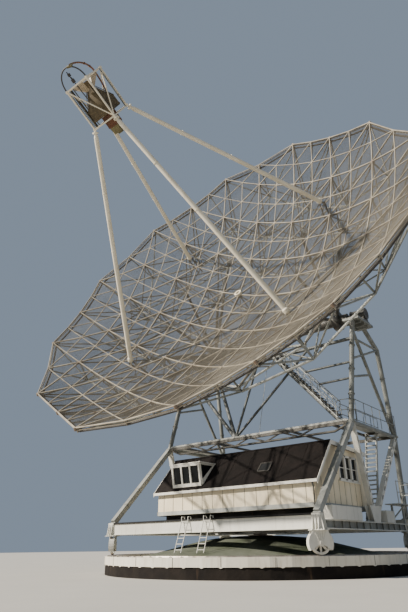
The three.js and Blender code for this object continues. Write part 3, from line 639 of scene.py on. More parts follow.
# Feed legs with round feet, splices and a flange at the head
CAGE, CAGE_LOW, CAGE_TOP = 0.73, 12.28, 14.4
LEG_FOOT, LEG_R, LEG_HEAD_R = 5.3, 0.13, 0.112
FEED_LEGS = (("near", 1, -1), ("left", -1, -1), ("far", -1, 1), ("right", 1, 1))
LEG_STEPS = ((0.002, 0.09, 0.008, 0.16), (0.008, 0.16, 0.02, 0.17), (0.02, 0.17, 0.026, LEG_R),
             (0.97, LEG_HEAD_R, 0.98, 0.075), (0.98, 0.075, 0.9935, 0.075), (0.984, 0.15, 0.99, 0.15))


def leg_foot(sx, sy):
    return dish(sx * LEG_FOOT, sy * LEG_FOOT, bowl(LEG_FOOT, LEG_FOOT))


def feed_leg(sx, sy):
    def at(k):
        return leg_foot(sx, sy).lerp(dish(sx * CAGE, sy * CAGE, CAGE_LOW), k)

    s = Shape()
    tube(s, at(0.012), at(0.97), LEG_R, 24, LEG_HEAD_R)
    for k0, r0, k1, r1 in LEG_STEPS:
        tube(s, at(k0), at(k1), r0, 24, r1)
    for k in (0.27, 0.51, 0.75):
        tube(s, at(k), at(k + 0.002), 0.134, 24)
    tube(s, at(-0.02), at(0.003), 0.05, 12)
    return s


posts = Shape()
for name, sx, sy in FEED_LEGS:
    piece("feed_leg_tube_" + name, feed_leg(sx, sy), *FEED_PART, CREAM, replaces=["feed_leg_" + name])
    for off in (-0.16, 0.16):
        end = dish(sx * 5.15 + off, sy * 5.15, bowl(LEG_FOOT, LEG_FOOT) - 1.25)
        tube(posts, leg_foot(sx, sy) + X * off, end, 0.045, 8)
piece("leg_posts", posts, *LATTICE, WEB_SHADE)

# Vertex ring with six bolts
s = Shape()
lathe(s, VERTEX, X, DY, DZ, [(0.14, 0.02), (0.23, 0.02), (0.23, 0.19), (0.14, 0.19)], 32)
for c in circle(VERTEX, X, DY, 0.18, 6):
    tube(s, c - DZ * 0.07, c + DZ * 0.03, 0.02, 8)
piece("vertex_hub", s, *FEED_PART, CREAM, replaces=["vertex_ring"])

# Feed cage
CAGE_SIDES = around([(CAGE * i, CAGE * j) for i, j in SQUARE])
s = Shape()
for k, (a, b) in enumerate(CAGE_SIDES):
    for z in (CAGE_LOW, CAGE_TOP):
        c = dish(*a, z)
        bar(s, c, dish(*b, z), 0.07, 0.07, DZ)
        bar(s, c - DZ * 0.06, c + DZ * 0.06, 0.12, 0.12, X)
    bar(s, dish(*a, CAGE_LOW), dish(*a, CAGE_TOP), 0.07, 0.07, DY)
    low, high = (a, b) if k % 2 else (b, a)
    tube(s, dish(*low, CAGE_LOW), dish(*high, CAGE_TOP), 0.032, 10)
piece("feed_cage_bars", s, *FEED_PART, CREAM, replaces=["feed_cage"])

# Hoop over the front edge, and a rusty rib from its crown down the cage
HOOP_Z, RISE, RIB_X = CAGE_TOP + 0.05, 0.8, 0.34
CROWN_Z = HOOP_Z + RISE
s = Shape()
turns = [pi * k / 24 for k in range(25)]
pipe(s, [dish(-CAGE * cos(t), -CAGE, HOOP_Z + RISE * sin(t)) for t in turns], 0.034, 10)
tube(s, dish(-0.07, -0.7, 15.1), dish(-0.02, -0.66, 13.62), 0.026, 8)
for z, r, h in ((14.93, 0.075, 0.07), (14.76, 0.04, 0.05), (14.62, 0.085, 0.09)):
    tube(s, dish(-0.05, -0.69, z - h), dish(-0.05, -0.69, z + h), r, 10)
piece("feed_arches", s, *HOOP_PART, DARK, replaces=["feed_hoops"])
s = Shape()
turns = [pi / 2 * k / 12 for k in range(12)]
run = [(CAGE * (2 * sin(t) - 1), HOOP_Z + RISE * cos(t)) for t in turns]
run += [(0.72, 14.42), (0.72, 14.2), (0.68, 13.9), (0.62, 13.6), (0.5, 13.25)]
pipe(s, [dish(RIB_X, y, z) for y, z in run], 0.042, 10)
for y, z in ((0.36, 14.99), (0.6, 14.76)):
    tube(s, dish(RIB_X, y - 0.04, z + 0.02), dish(RIB_X, y + 0.04, z - 0.03), 0.062, 10)
piece("feed_rib", s, *HOOP_PART, HOOP)
s = Shape()
for a, b, r in (((-0.18, 0, -0.02), (0.08, 0.02, -0.1), 0.062), ((0, -0.05, -0.06), (0, 0.22, -0.02), 0.058)):
    tube(s, *(dish(RIB_X + x, -CAGE + y, CROWN_Z + z) for x, y, z in (a, b)), r, 12)
piece("hoop_joint", s, *HOOP_PART, OLIVE)


# Feed horn: boxy mouth towards the bowl, with panels round its throat
def quad(r, z):
    return [dish(i * r, j * r, z) for i, j in SQUARE]


def funnel_at(a, b, near, far, z):
    """Point drawn in from a cage corner towards the next one."""
    return dish(a[0] * near + b[0] * far, a[1] * near + b[1] * far, z)


HORN = ((0.1, 14.3), (0.1, 14.05), (0.28, 13.62), (0.56, 13.05), (0.575, 12.52), (0.53, 12.52), (0.5, 13))
FUNNEL = (((0.7, 0.24, CAGE_TOP - 0.06), (0.22, 0.1, 13.86)),
          ((0.68, 0.23, CAGE_TOP - 0.075), (0.2, 0.09, 13.88)))
s = Shape()
s.loft([quad(r, z) for r, z in HORN])
piece("feed_horn_cone", s, *HORN_PART, FEED, 30, ["feed_horn"])
s = Shape()
for a, b in around(quad(0.585, 12.6)):
    bar(s, a, b, 0.03, 0.05, DZ)
for a, b in zip(quad(0.57, 13.05), quad(0.11, 14.08)):
    bar(s, a, b, 0.025, 0.025, DY)
piece("feed_horn_ribs", s, *HORN_PART, FEED)
s = Shape()
for a, b in CAGE_SIDES:
    s.loft([[funnel_at(a, b, *wide), funnel_at(b, a, *wide), funnel_at(b, a, *slim), funnel_at(a, b, *slim)]
            for wide, slim in FUNNEL])
piece("feed_funnel", s, *HORN_PART, TAN)
s = Shape()
for r, z0, z1 in ((0.29, 11.87, 12.5), (0.3, 11.93, 11.96), (0.3, 12.2, 12.23)):
    s.loft([quad(r, z0), quad(r, z1)])
piece("feed_case", s, "dish", "feed_box_paint", BROWN, replaces=["feed_box"])
s = Shape()
s.loft([quad(0.24, 11.5), quad(0.27, 11.865)])
s.loft([quad(0.11, 11.41), quad(0.11, 11.495)])
piece("feed_case_end", s, "dish", "feed_box_paint", OLIVE)

# Grille and cable trays up the cage
GRILLE_X = -CAGE - 0.03
s = Shape()
for y, r in ((-0.61, 0.02), (-0.36, 0.02), (-0.3, 0.028)):
    tube(s, dish(GRILLE_X, y, CAGE_LOW), dish(GRILLE_X, y, CAGE_TOP), r, 8)
for k in range(25):
    z = CAGE_LOW + 0.08 * (k + 1)
    tube(s, dish(GRILLE_X, -0.61, z), dish(GRILLE_X, -0.36, z), 0.014, 6)
piece("cage_ladder", s, *HOOP_PART, DARK)
s = Shape()
for x, y in ((CAGE + 0.02, CAGE - 0.16), (-CAGE + 0.02, -0.5), (-CAGE + 0.02, -0.2)):
    bar(s, dish(x, y, CAGE_LOW), dish(x, y, CAGE_TOP), 0.05, 0.03, DY)
piece("cage_trays", s, *FEED_PART, STEEL)

# Turntable: the girders' and the towers' main measures
GIRDER_X, GIRDER_Y = 5.85, 4.72
TOWER_X, HEAD_X, HEAD_Z, HEAD_TOP = 5.88, 5.86, 12.29, 12.42
FRONT_Y, REAR_Y, LEVEL, DECK = -0.55, 4.85, 6.46, 6.53


def front_y(z):
    """Depth of the sloping front legs at a height."""
    return FRONT_Y + 1.85 * (z - LEVEL) / (12.28 - LEVEL)


def portal_at(x, z=11.15):
    """Point in the plane of the sloping front legs."""
    return P(x, front_y(z), z)


def tower_ends(sx):
    """Ends of a tower's level beam, in front and at the rear."""
    return P(sx * TOWER_X, FRONT_Y, LEVEL), P(sx * TOWER_X, REAR_Y, LEVEL)


def tower_tubes(sx):
    def front(z):
        return portal_at(sx * TOWER_X, z)

    s = Shape()
    fore, rear = tower_ends(sx)
    knee, head = P(sx * TOWER_X, 4.3, 11.35), P(sx * TOWER_X, 2.7, HEAD_Z)
    for a, b, r, n in (
            (fore, front(HEAD_Z), 0.13, 20), (rear, knee, 0.13, 20), (knee, head, 0.13, 20),
            (front(11.7), rear, 0.09, 16), (fore, rear, 0.11, 16), (front(9.9), knee, 0.065, 12),
            (front(11.2), knee, 0.065, 12), (front(8.85), front(11.7).lerp(rear, 0.42), 0.065, 12),
            (P(sx * GIRDER_X, GIRDER_Y, 2.3), rear, 0.14, 20)):
        tube(s, a, b, r, n)
    for c in (fore, rear):
        tube(s, c - Z * 0.05, c + Z * 0.05, 0.21, 20)
    splices = [(front(z), unit(front(12) - front(7))) for z in (7.9, 9.3, 10.7)]
    splices += [(rear.lerp(knee, k), unit(knee - rear)) for k in (0.33, 0.66)]
    for c, d in splices:
        tube(s, c - d * 0.02, c + d * 0.02, 0.165, 20)
    x = sx * HEAD_X
    box(s, x - 0.46, 1.1, HEAD_Z, x + 0.46, 3.1, HEAD_TOP)
    for y in (1.5, 2.0, 2.5):
        box(s, x - 0.4, y - 0.02, 12.12, x + 0.4, y + 0.02, 12.3)
    return s


def front_leg(sx):
    """Lower front leg with collars, and both foot plates."""
    s = Shape()
    x = sx * GIRDER_X
    a, b = P(x, -GIRDER_Y, 2.3), tower_ends(sx)[0]
    d = unit(b - a)
    bar(s, a, b, 0.26, 0.26, X)
    for k in (0.2, 0.4, 0.6, 0.8):
        c = a.lerp(b, k)
        bar(s, c - d * 0.015, c + d * 0.015, 0.3, 0.3, X)
    for y0, y1 in ((-4.78, -4.54), (4.55, 4.89)):
        box(s, x - 0.17, y0, 2.28, x + 0.17, y1, 2.33)
    return s


def channel_legs(sx):
    """The two middle legs, made of holed plates on a shared foot."""
    s = Shape()
    x = sx * GIRDER_X
    foot = P(x, 0.7, 2.1)
    for top, holes in zip(tower_ends(sx), (8, 10)):
        across, out = axes(foot, top, X)
        for q in (-1, 1):
            off = out * (q * 0.11)
            holed_bar(s, foot + off, top + off, X, 0.22, 0.016, holes, 0.11, 0.3)
            off = across * (q * 0.1)
            bar(s, foot + off, top + off, 0.016, 0.2, X)
    box(s, x - 0.15, 0.37, 2.06, x + 0.15, 1.03, 2.1)
    ear = ((0.35, 2.09), (1.05, 2.09), (1.35, 2.75), (0.05, 2.75))
    for q in (-0.13, 0.13):
        plate(s, [P(x, y, z) + X * q for y, z in ear], X, 0.016)
    return s


def bearing(sx):
    """Long drum on its ribbed pedestal."""
    s = Shape()
    x0, x1 = sorted((sx * 5.43, sx * 6.3))
    y, long = AXIS.y, x1 - x0
    drum = [(0.158, 0), (0.33, 0), (0.33, 0.05), (0.29, 0.07),
            (0.29, long - 0.07), (0.33, long - 0.05), (0.33, long), (0.158, long)]
    lathe(s, AXIS + X * x0, Y, Z, X, drum, 32)
    box(s, x0 + 0.04, y - 0.42, HEAD_TOP, x1 - 0.04, y + 0.42, 12.54)
    rib = ((-0.4, 12.5), (0.4, 12.5), (0.27, 12.79), (-0.27, 12.79))
    for x in (x0 + 0.1, (x0 + x1) / 2, x1 - 0.1):
        plate(s, [P(x, y + off, z) for off, z in rib], X, 0.05)
    box(s, x0 + 0.08, y - 0.2, 12.52, x1 - 0.08, y + 0.2, 12.79)
    return s


# The channel legs take the off-white paint as a painted highlight, so they look sunlit against the grey
# towers
for side, sx in (("right", 1), ("left", -1)):
    piece("tower_tubes_" + side, tower_tubes(sx), *TOWER, STEEL, replaces=["tower_" + side])
    piece("tower_front_leg_" + side, front_leg(sx), *TOWER, LEGS)
    piece("tower_channels_" + side, channel_legs(sx), *TOWER, WHITE, 30)
    piece("bearing_" + side, bearing(sx), *BEARING, GREY, replaces=["bearing_block_" + side])
s = Shape()
for sx in (-1, 1):
    tube(s, AXIS + X * (sx * 6.27), AXIS + X * (sx * 6.305), 0.24, 24)
piece("bearing_caps", s, *BEARING, DARK)

# Bracing in the plane of the sloping legs, in a darker grey that paints the dish's shadow on it
STRUT_FOOT, STRUT_TOP, BRACE_FOOT = portal_at(5.35, DECK), portal_at(0.95), portal_at(-0.95, DECK)
s = Shape()
tube(s, portal_at(-TOWER_X), portal_at(TOWER_X), 0.095, 16)
tube(s, STRUT_FOOT, STRUT_TOP, 0.105, 16)
for x0, x1, z, r in ((5.85, 3.15, 9.72, 0.065), (5.85, 4.07, 8.79, 0.06)):
    tube(s, portal_at(x0, z), portal_at(x1, z), r, 16)
for x, r in ((-5.45, 0.11), (-3.3, 0.11), (-0.15, 0.07), (3.25, 0.07)):
    tube(s, BRACE_FOOT, portal_at(x), r, 16)
gusset = ((-1.3, DECK), (-0.6, DECK), (-0.75, 6.8), (-1.2, 6.8))
plate(s, [portal_at(x, z) for x, z in gusset], P(0, 1, -0.3), 0.03)
piece("portal_tubes", s, *TOWER, PORTAL_SHADE, replaces=["portal_bracing"])

# Stair on top of the long strut
SIDE_Y, TREADS, RAIL_H, RAIL_POSTS = (-0.22, 0.34), 21, 0.8, 8
a, b = STRUT_FOOT + Z * 0.16, STRUT_TOP + Z * 0.16
s = Shape()
for off in SIDE_Y:
    bar(s, a + Y * off, a.lerp(b, 0.95) + Y * off, 0.03, 0.16, Y)
piece("stair_stringers", s, *TOWER, LIGHT)
s = Shape()
for k in range(1, TREADS):
    c = a.lerp(b, 0.95 * k / TREADS)
    box(s, c.x - 0.12, c.y + SIDE_Y[0], c.z + 0.02, c.x + 0.12, c.y + SIDE_Y[1], c.z + 0.045)
piece("stair_treads", s, *TOWER, GREY)
s = Shape()
for off in SIDE_Y:
    feet = [a.lerp(b, 0.02 + 0.83 * k / RAIL_POSTS) + Y * off for k in range(RAIL_POSTS + 1)]
    for h, r in ((RAIL_H, 0.028), (RAIL_H / 2, 0.016)):
        pipe(s, [c + Z * h for c in feet], r, 6)
    for c in feet:
        tube(s, c, c + Z * RAIL_H, 0.016, 6)
piece("stair_rails", s, *TOWER, LIGHT)

# Level frame: gratings, kick plates and railings
WALK_X = 5.43
s = Shape()
for sx in (-1, 1):
    x = sx * WALK_X
    box(s, x - 0.32, -0.5, 6.52, x + 0.32, 4.8, 6.55)
    for k in range(28):
        y = -0.45 + 0.19 * k
        box(s, x - 0.31, y, 6.55, x + 0.31, y + 0.02, 6.565)
for y in (-0.62, -0.48):
    box(s, -5.7, y - 0.01, DECK, 5.7, y + 0.01, 6.62)
piece("platform_grating", s, *TOWER, LIGHT)
RAIL_ZS = (7.05, 7.55)
s = Shape()
for x, y0, y1 in ((5.12, 0.0, 4.7), (6.08, -0.3, 4.7)):
    for z in RAIL_ZS:
        tube(s, P(x, y0, z), P(x, y1, z), 0.02, 8)
    for k in range(6):
        y = y0 + (y1 - y0) * k / 5
        tube(s, P(x, y, 6.5), P(x, y, RAIL_ZS[1]), 0.018, 8)
for z in RAIL_ZS:
    turns = [pi * k / 10 for k in range(11)]
    pipe(s, [P(5.6 + 0.48 * cos(t), -0.25 - 0.4 * sin(t), z) for t in turns], 0.02, 8)
piece("platform_rails", s, *CARRIAGE, STEEL)

# Railing of the side landing
INNER_X, OUTER_X, LAND_Y, LAND_END = 5.98, 6.61, 4.31, 1.99
s = Shape()
for z in (3.4, 3.9):
    pipe(s, [P(INNER_X, LAND_Y, z), P(OUTER_X, LAND_Y, z), P(OUTER_X, LAND_END, z)], 0.02, 8)
for x, y in [(INNER_X, LAND_Y)] + [(OUTER_X, y) for y in (LAND_Y, 3.54, 2.76, LAND_END)]:
    tube(s, P(x, y, 2.895), P(x, y, 3.915), 0.022, 8)
piece("landing_rails", s, *CARRIAGE, LIGHT)

# Deep front edges on the treads of the steep stair
STEEP = 19
s = Shape()
for k in range(1, STEEP + 1):
    c = P(0, 1.6, 2.06).lerp(P(0, 2.98, LEVEL), k / (STEEP + 1))
    box(s, 5.06, c.y - 0.125, c.z - 0.045, 5.69, c.y - 0.105, c.z + 0.025)
piece("tread_edges", s, *CARRIAGE, LIGHT, 30)

# Cable from the strut down to the level frame
s = Shape()
tube(s, P(0.55, -0.45, 6.5), portal_at(0.55, 11.1), 0.014, 6)
piece("stay_cable", s, "turntable", "hoop_steel", LIGHT)

# Carriage girders: flange lips, webs, stiffeners and cap strips; the side webs and the dark cap strips are
# painted shade
WEB_Z, SIDE_TOP, MAIN_TOP = 1.75, 2.02, 2.22


def stiffeners(s, x, start, pitch, count, near, far, top, t):
    """Upright plates on both sides of a girder."""
    for k in range(count):
        y = start + pitch * k
        for q in (-1, 1):
            x0, x1 = x + q * near, x + q * far
            plate(s, [P(x0, y, WEB_Z), P(x1, y, WEB_Z), P(x1, y, top), P(x0, y, top)], Y, t)


s, side_web_shade = Shape(), Shape()
for sy in (-1, 1):
    for q in (-1, 1):
        y = sy * GIRDER_Y + q * 0.155
        box(s, -5.95, y - 0.012, 2.235, 5.95, y + 0.012, 2.265)
# The side girders' web plates and stiffeners take the darker tower grey as painted shade of the recess
# between the flanges
for sx in (-1, 1):
    stiffeners(side_web_shade, sx * GIRDER_X, -4.2, 0.7, 13, 0.03, 0.09, SIDE_TOP, 0.016)
    for q in (-1, 1):
        x = sx * GIRDER_X + q * 0.03
        box(side_web_shade, x - 0.004, -4.38, WEB_Z + 0.002, x + 0.004, 4.38, SIDE_TOP - 0.002)
    for x in (1.25, 3.5):
        stiffeners(s, sx * x, -3.9, 1.1, 8, 0.02, 0.11, MAIN_TOP, 0.014)
piece("girder_stiffeners", s, *CARRIAGE, WHITE, 30)
piece("side_girder_webs_shaded", side_web_shade, *CARRIAGE, STEEL, 30)
# Dark strips on the girders' tops and down their front faces paint the shadow line of the top flange
s = Shape()
for sy in (-1, 1):
    box(s, -5.98, sy * GIRDER_Y - 0.16, 2.262, 5.98, sy * GIRDER_Y + 0.16, 2.276)
    box(s, -5.98, sy * 4.885 - 0.01, 2.205, 5.98, sy * 4.885 + 0.01, 2.28)
for i, j in SQUARE:
    x, y = i * GIRDER_X, j * GIRDER_Y
    box(s, x - 0.19, y - 0.19, 2.278, x + 0.19, y + 0.19, 2.283)
piece("girder_cap_shadow_strip", s, *CARRIAGE, FLANGE_SHADE)


# Ladders hooked over the front girder
def ladder_rails(left):
    def low(x, k):
        return P(x, -4.895 - 0.5 * k, 2.27 - 1.38 * k)

    s = Shape()
    sides = (left + 0.02, left + 0.4)
    for x in sides:
        hook = [P(x, y, z) for y, z in ((-4.7, 2.3), (-4.72, 2.37), (-4.9, 2.38), (-4.925, 2.32))]
        pipe(s, hook + [low(x, 0.02), low(x, 1)], 0.019, 8)
    for k in range(6):
        tube(s, low(sides[0], 0.06 + 0.17 * k), low(sides[1], 0.06 + 0.17 * k), 0.013, 8)
    return s


for name, x in (("a", -1.0), ("b", 0.3)):
    piece("ladder_rails_" + name, ladder_rails(x), *CARRIAGE, WHITE, replaces=["front_ladder_" + name])

# Wheel corners: guard, spoked wheel and ribs on the post
GUARD, ARCH, DROP = 0.49, 0.4, 0.46
RAIL_R, WHEEL_Z = 7.5, 1.2123
TYRE = [(0.32, -0.055), (0.32, 0.055), (0.4, 0.055), (0.4, -0.055)]
FLANGE = [(0.34, -0.066), (0.34, -0.05), (0.395, -0.05), (0.395, -0.066)]


def wheel_guard(hub, r, t):
    def turned(c, radius, degrees):
        return c + t * (radius * cos(rad(degrees))) + Z * (radius * sin(rad(degrees)))

    s = Shape()
    for q in (-1, 1):
        side = hub + r * (q * 0.11)
        outline = [turned(side, GUARD, -28 + 9 * k) for k in range(9)]
        outline += [side + t * (i * 0.31) + Z * 0.46 for i in (1, -1)]
        outline += [turned(side, GUARD, 136 + 9 * k) for k in range(9)]
        outline += [turned(side, ARCH, 145 - 110 * k / 14) - Z * DROP for k in range(15)]
        plate(s, outline, r, 0.03)
        tube(s, side - r * 0.03, side + r * 0.03, 0.115, 20)
        c = side + r * (q * 0.022)
        for k in range(-2, 3):
            bar(s, c + Z * 0.1 + t * (0.045 * k), c + Z * 0.455 + t * (0.125 * k), 0.03, 0.022, r)
    for q in (-1, 1):
        for k in range(5):
            a, b = [turned(hub, GUARD, 90 - q * (50 + 14 * n)) for n in (k, k + 1)]
            bar(s, a, b, 0.25, 0.02, a - hub)
    base = hub + Z * 0.44
    s.loft([square(base + Z * z, t * 0.36, r * 0.18) for z in (0, 0.037)])
    return s


def wheel(hub, r, t):
    s = Shape()
    for profile in (TYRE, FLANGE):
        lathe(s, hub, t, Z, r, profile, 40)
    tube(s, hub - r * 0.075, hub + r * 0.075, 0.1, 24)
    tube(s, hub - r * 0.17, hub + r * 0.17, 0.069, 20)
    for d in circle(ORIGIN, t, Z, 1, 8):
        bar(s, hub + d * 0.08, hub + d * 0.35, 0.07, 0.05, r)
    return s


def corner_ribs(sx, sy):
    s = Shape()
    x, y = sx * GIRDER_X, sy * GIRDER_Y
    s.loft([[P(x + i * h, y + j * h, z) for i, j in SQUARE] for h, z in ((0.3, 1.662), (0.195, 1.715))])
    for k in (-1, 0, 1):
        for d, side in ((Y * sy, X), (X * sx, Y)):
            c = P(x, y, 0) + d * 0.185 + side * (k * 0.13)
            rib = [c + d * off + Z * z for off, z in ((0, 1.67), (0.11, 1.67), (0.02, 2.2), (0, 2.24))]
            plate(s, rib, d.cross(Z), 0.02)
    return s


WHEELS = (("front_right", 1, -1), ("front_left", -1, -1), ("rear_right", 1, 1), ("rear_left", -1, 1))
for name, sx, sy in WHEELS:
    r, t = spoke(atan2(sy * GIRDER_Y, sx * GIRDER_X))
    hub = r * RAIL_R + Z * WHEEL_Z
    piece("wheel_guard_" + name, wheel_guard(hub, r, t), *CARRIAGE, WHITE, replaces=["wheel_housing_" + name])
    own = "wheel_" + name
    piece("wheel_spoked_" + name, wheel(hub, r, t), own, "wheel_iron", IRON, replaces=[own])
    piece("corner_ribs_" + name, corner_ribs(sx, sy), *CARRIAGE, WHITE, 30)

# Cabin walls, and the underside painted dark as shade under the floor
LEFT, RIGHT, FRONT, REAR = -3.48, 5.48, -3.9, 1.0
JOIST_Z, FLOOR, EAVES, REAR_EAVES, RIDGE, RIDGE_Y = 2.266, 2.54, 3.68, 5.1, 5.23, -2.48
GABLES = ((RIGHT, 1), (LEFT, -1))
OVERHANG = 0.18


def roof_z(y):
    if y < RIDGE_Y:
        return EAVES + (RIDGE - EAVES) * (y - FRONT) / (RIDGE_Y - FRONT)
    return RIDGE + (REAR_EAVES - RIDGE) * (y - RIDGE_Y) / (REAR - RIDGE_Y)


LOW = FLOOR + 0.19
s = Shape()
across = [LEFT + 0.4 + 0.62 * k for k in range(int((RIGHT - LEFT) / 0.62))]
for x in across:
    box(s, x - 0.012, FRONT - 0.01, LOW, x + 0.012, FRONT + 0.005, 3.66)
for k in range(9):
    y = FRONT + 0.45 + 0.55 * k
    for x, q in GABLES:
        box(s, x - 0.005, y - 0.011, LOW, x + q * 0.01, y + 0.011, min(3.75, roof_z(y) - 0.05))
for x in across:
    if not (-2.95 < x < -1.45 or 0.85 < x < 2.35):
        box(s, x - 0.012, REAR - 0.005, LOW, x + 0.012, REAR + 0.01, REAR_EAVES - 0.1)
piece("cabin_battens", s, "turntable", "cabin_panel", BATTEN, 30)

s = Shape()
for y in (FRONT - 0.03, REAR):
    box(s, LEFT - 0.02, y, FLOOR + 0.01, RIGHT + 0.02, y + 0.03, LOW)
for x in (RIGHT, LEFT - 0.03):
    box(s, x, FRONT - 0.03, FLOOR + 0.01, x + 0.03, REAR + 0.03, LOW)
piece("cabin_sill", s, *CABIN, LIGHT, 30)
# Dark boards, bearers and floor plate under the cabin: painted shade where the floor's underside lies in
# shadow
s = Shape()
for y in (-3.59, 0.72):
    box(s, LEFT + 0.28, y, JOIST_Z, RIGHT - 0.28, y + 0.02, FLOOR - 0.004)
for x in (LEFT + 0.285, RIGHT - 0.3):
    for y in (-3.5, -2, -0.7, 0.65):
        box(s, x, y - 0.075, JOIST_Z, x + 0.015, y + 0.075, FLOOR - 0.004)
box(s, LEFT + 0.02, FRONT + 0.02, FLOOR - 0.006, RIGHT - 0.02, REAR - 0.02, FLOOR - 0.001)
piece("cabin_underside_painted_shade", s, "turntable", "cabin_panel", SHADE, 30)

# Fascia and verge boards
EAVE_Y, EAVE_Z = FRONT - OVERHANG, EAVES - OVERHANG * (RIDGE - EAVES) / (RIDGE_Y - FRONT)
BACK_Y, BACK_Z = REAR + OVERHANG, REAR_EAVES - OVERHANG * (RIDGE - REAR_EAVES) / (REAR - RIDGE_Y)
s = Shape()
box(s, LEFT - 0.155, EAVE_Y - 0.03, EAVE_Z + 0.01, RIGHT + 0.155, EAVE_Y, EAVE_Z + 0.13)
box(s, LEFT - 0.155, BACK_Y, BACK_Z - 0.03, RIGHT + 0.155, BACK_Y + 0.03, BACK_Z + 0.13)
VERGE = ((EAVE_Y, EAVE_Z - 0.05), (EAVE_Y, EAVE_Z + 0.13), (RIDGE_Y, RIDGE + 0.15),
         (BACK_Y, BACK_Z + 0.12), (BACK_Y, BACK_Z - 0.05), (RIDGE_Y, RIDGE - 0.04))
for x, q in GABLES:
    board = [P(x + q * 0.15, y, z) for y, z in VERGE]
    s.loft([board, [p + X * (q * 0.025) for p in board]])
piece("cabin_fascia", s, *CABIN, TRIM, 30)
s = Shape()
x, y = RIGHT - 0.1, FRONT - 0.07
pipe(s, [P(x, EAVE_Y + 0.03, EAVE_Z), P(x, y, EAVE_Z - 0.16), P(x, y, FLOOR)], 0.035, 10)
piece("drain_pipe", s, *CABIN, GREY)

# Roof: seams that stop at the dormer, and a skylight
D_LEFT, D_RIGHT, D_FRONT, D_BACK, D_LOW, D_TOP = -2.42, -0.6, -4.1, -2.98, 3.79, 4.85
SLOPE = unit(P(0, EAVES - RIDGE, RIDGE_Y - FRONT))
s = Shape()
for k in range(int((RIGHT - LEFT) / 0.96)):
    x = LEFT + 0.35 + 0.96 * k
    ridge = P(x, RIDGE_Y, RIDGE + 0.134)
    if not D_LEFT - 0.08 < x < D_RIGHT + 0.08:
        bar(s, P(x, EAVE_Y + 0.02, EAVE_Z + 0.112), ridge, 0.03, 0.03, SLOPE)
    bar(s, ridge, P(x, BACK_Y - 0.02, BACK_Z + 0.112), 0.03, 0.03, Z)
tube(s, P(LEFT - 0.15, RIDGE_Y, RIDGE + 0.125), P(RIGHT + 0.15, RIDGE_Y, RIDGE + 0.125), 0.05, 10)
piece("roof_seams", s, "turntable", "roof_sheet", ROOF)


def on_slope(x, y, lift):
    return P(x, y, roof_z(y) + 0.11) + SLOPE * lift


SKYLIGHT = [(2.42, -3.56), (3.02, -3.56), (3.02, -3.2), (2.42, -3.2)]
s = Shape()
for a, b in around(SKYLIGHT):
    bar(s, on_slope(*a, 0.03), on_slope(*b, 0.03), 0.06, 0.08, SLOPE)
piece("skylight_frame", s, *CABIN, DARK)
s = Shape()
plate(s, [on_slope(*c, 0.045) for c in SKYLIGHT], SLOPE, 0.02)
piece("skylight_glass", s, *CABIN, PANE)

# Windows in the gables and the rear wall
frames, panes = Shape(), Shape()
for wall, q in GABLES:
    x0, x1 = sorted((wall + q * 0.03, wall - q * 0.05))
    for y0, y1 in ((-1.62, -1.03), (-0.94, -0.42), (-0.33, 0.23)):
        for a, b in ((y0 - 0.045, y0 + 0.03), (y1 - 0.03, y1 + 0.045)):
            box(frames, x0, a, 3.76, x1, b, 4.87)
        for a, b in ((3.755, 3.84), (4.79, 4.87)):
            box(frames, x0, y0 - 0.045, a, x1, y1 + 0.045, b)
        box(frames, x0 + 0.02, y0, 4.29, x1 - 0.02, y1, 4.32)
        x = wall - q * 0.06
        box(panes, x - 0.006, y0 + 0.01, 3.81, x + 0.006, y1 - 0.01, 4.82)
    x0, x1 = sorted((wall, wall + q * 0.07))
    box(frames, x0, -1.72, 3.7, x1, 0.33, 3.76)
for x in (-2.9, 0.9):
    for a, b in ((x - 0.05, x + 0.03), (x + 0.67, x + 0.73), (x + 1.37, x + 1.45)):
        box(frames, a, REAR - 0.04, 3.25, b, REAR + 0.03, 4.25)
    for a, b in ((3.25, 3.33), (4.17, 4.25)):
        box(frames, x - 0.05, REAR - 0.04, a, x + 1.45, REAR + 0.03, b)
    box(panes, x + 0.01, REAR - 0.065, 3.31, x + 1.39, REAR - 0.053, 4.19)

# Dormer, with a slanted pane in each side
LEAN = 0.18
DORMER_SIDES = ((D_RIGHT, 1), (D_LEFT, -1))


def roof_y(z):
    """Depth at which the front slope reaches a height."""
    return FRONT + (z - EAVES - 0.115) * (RIDGE_Y - FRONT) / (RIDGE - EAVES)


def dormer_at(x, z, out=0.012):
    """Point on the dormer's leaning front."""
    return P(x, D_FRONT + LEAN * (D_TOP - z) / (D_TOP - D_LOW) - out, z)


facing = unit(P(0, D_LOW - D_TOP, -LEAN))
bay = (D_RIGHT - D_LEFT - 0.13) / 3
for k, shift in enumerate((0.045, 0.065, 0.065, 0.085)):
    x = D_LEFT + shift + bay * k
    bar(frames, dormer_at(x, 3.82), dormer_at(x, 4.8), 0.085, 0.06, facing)
for z, h in ((3.87, 0.15), (4.79, 0.11)):
    bar(frames, dormer_at(D_LEFT, z), dormer_at(D_RIGHT, z), h, 0.07, facing)
piece("window_frames", frames, *CABIN, TRIM, 30)
x0, x1 = D_LEFT + 0.05, D_RIGHT - 0.05
pane = ((x0, 3.9), (x1, 3.9), (x1, 4.77), (x0, 4.77))
plate(panes, [dormer_at(x, z, -0.03) for x, z in pane], facing, 0.012)
for side, q in DORMER_SIDES:
    pane = ((-4.03, 4.77), (-3.93, 4.06), (roof_y(4.77) - 0.09, 4.77))
    plate(panes, [P(side + q * 0.006, y, z) for y, z in pane], X, 0.012)
piece("window_glass", panes, *CABIN, GLASS, 30)
s = Shape()
box(s, D_LEFT - 0.09, D_FRONT - 0.06, D_TOP, D_RIGHT + 0.09, D_BACK + 0.1, D_TOP + 0.05)
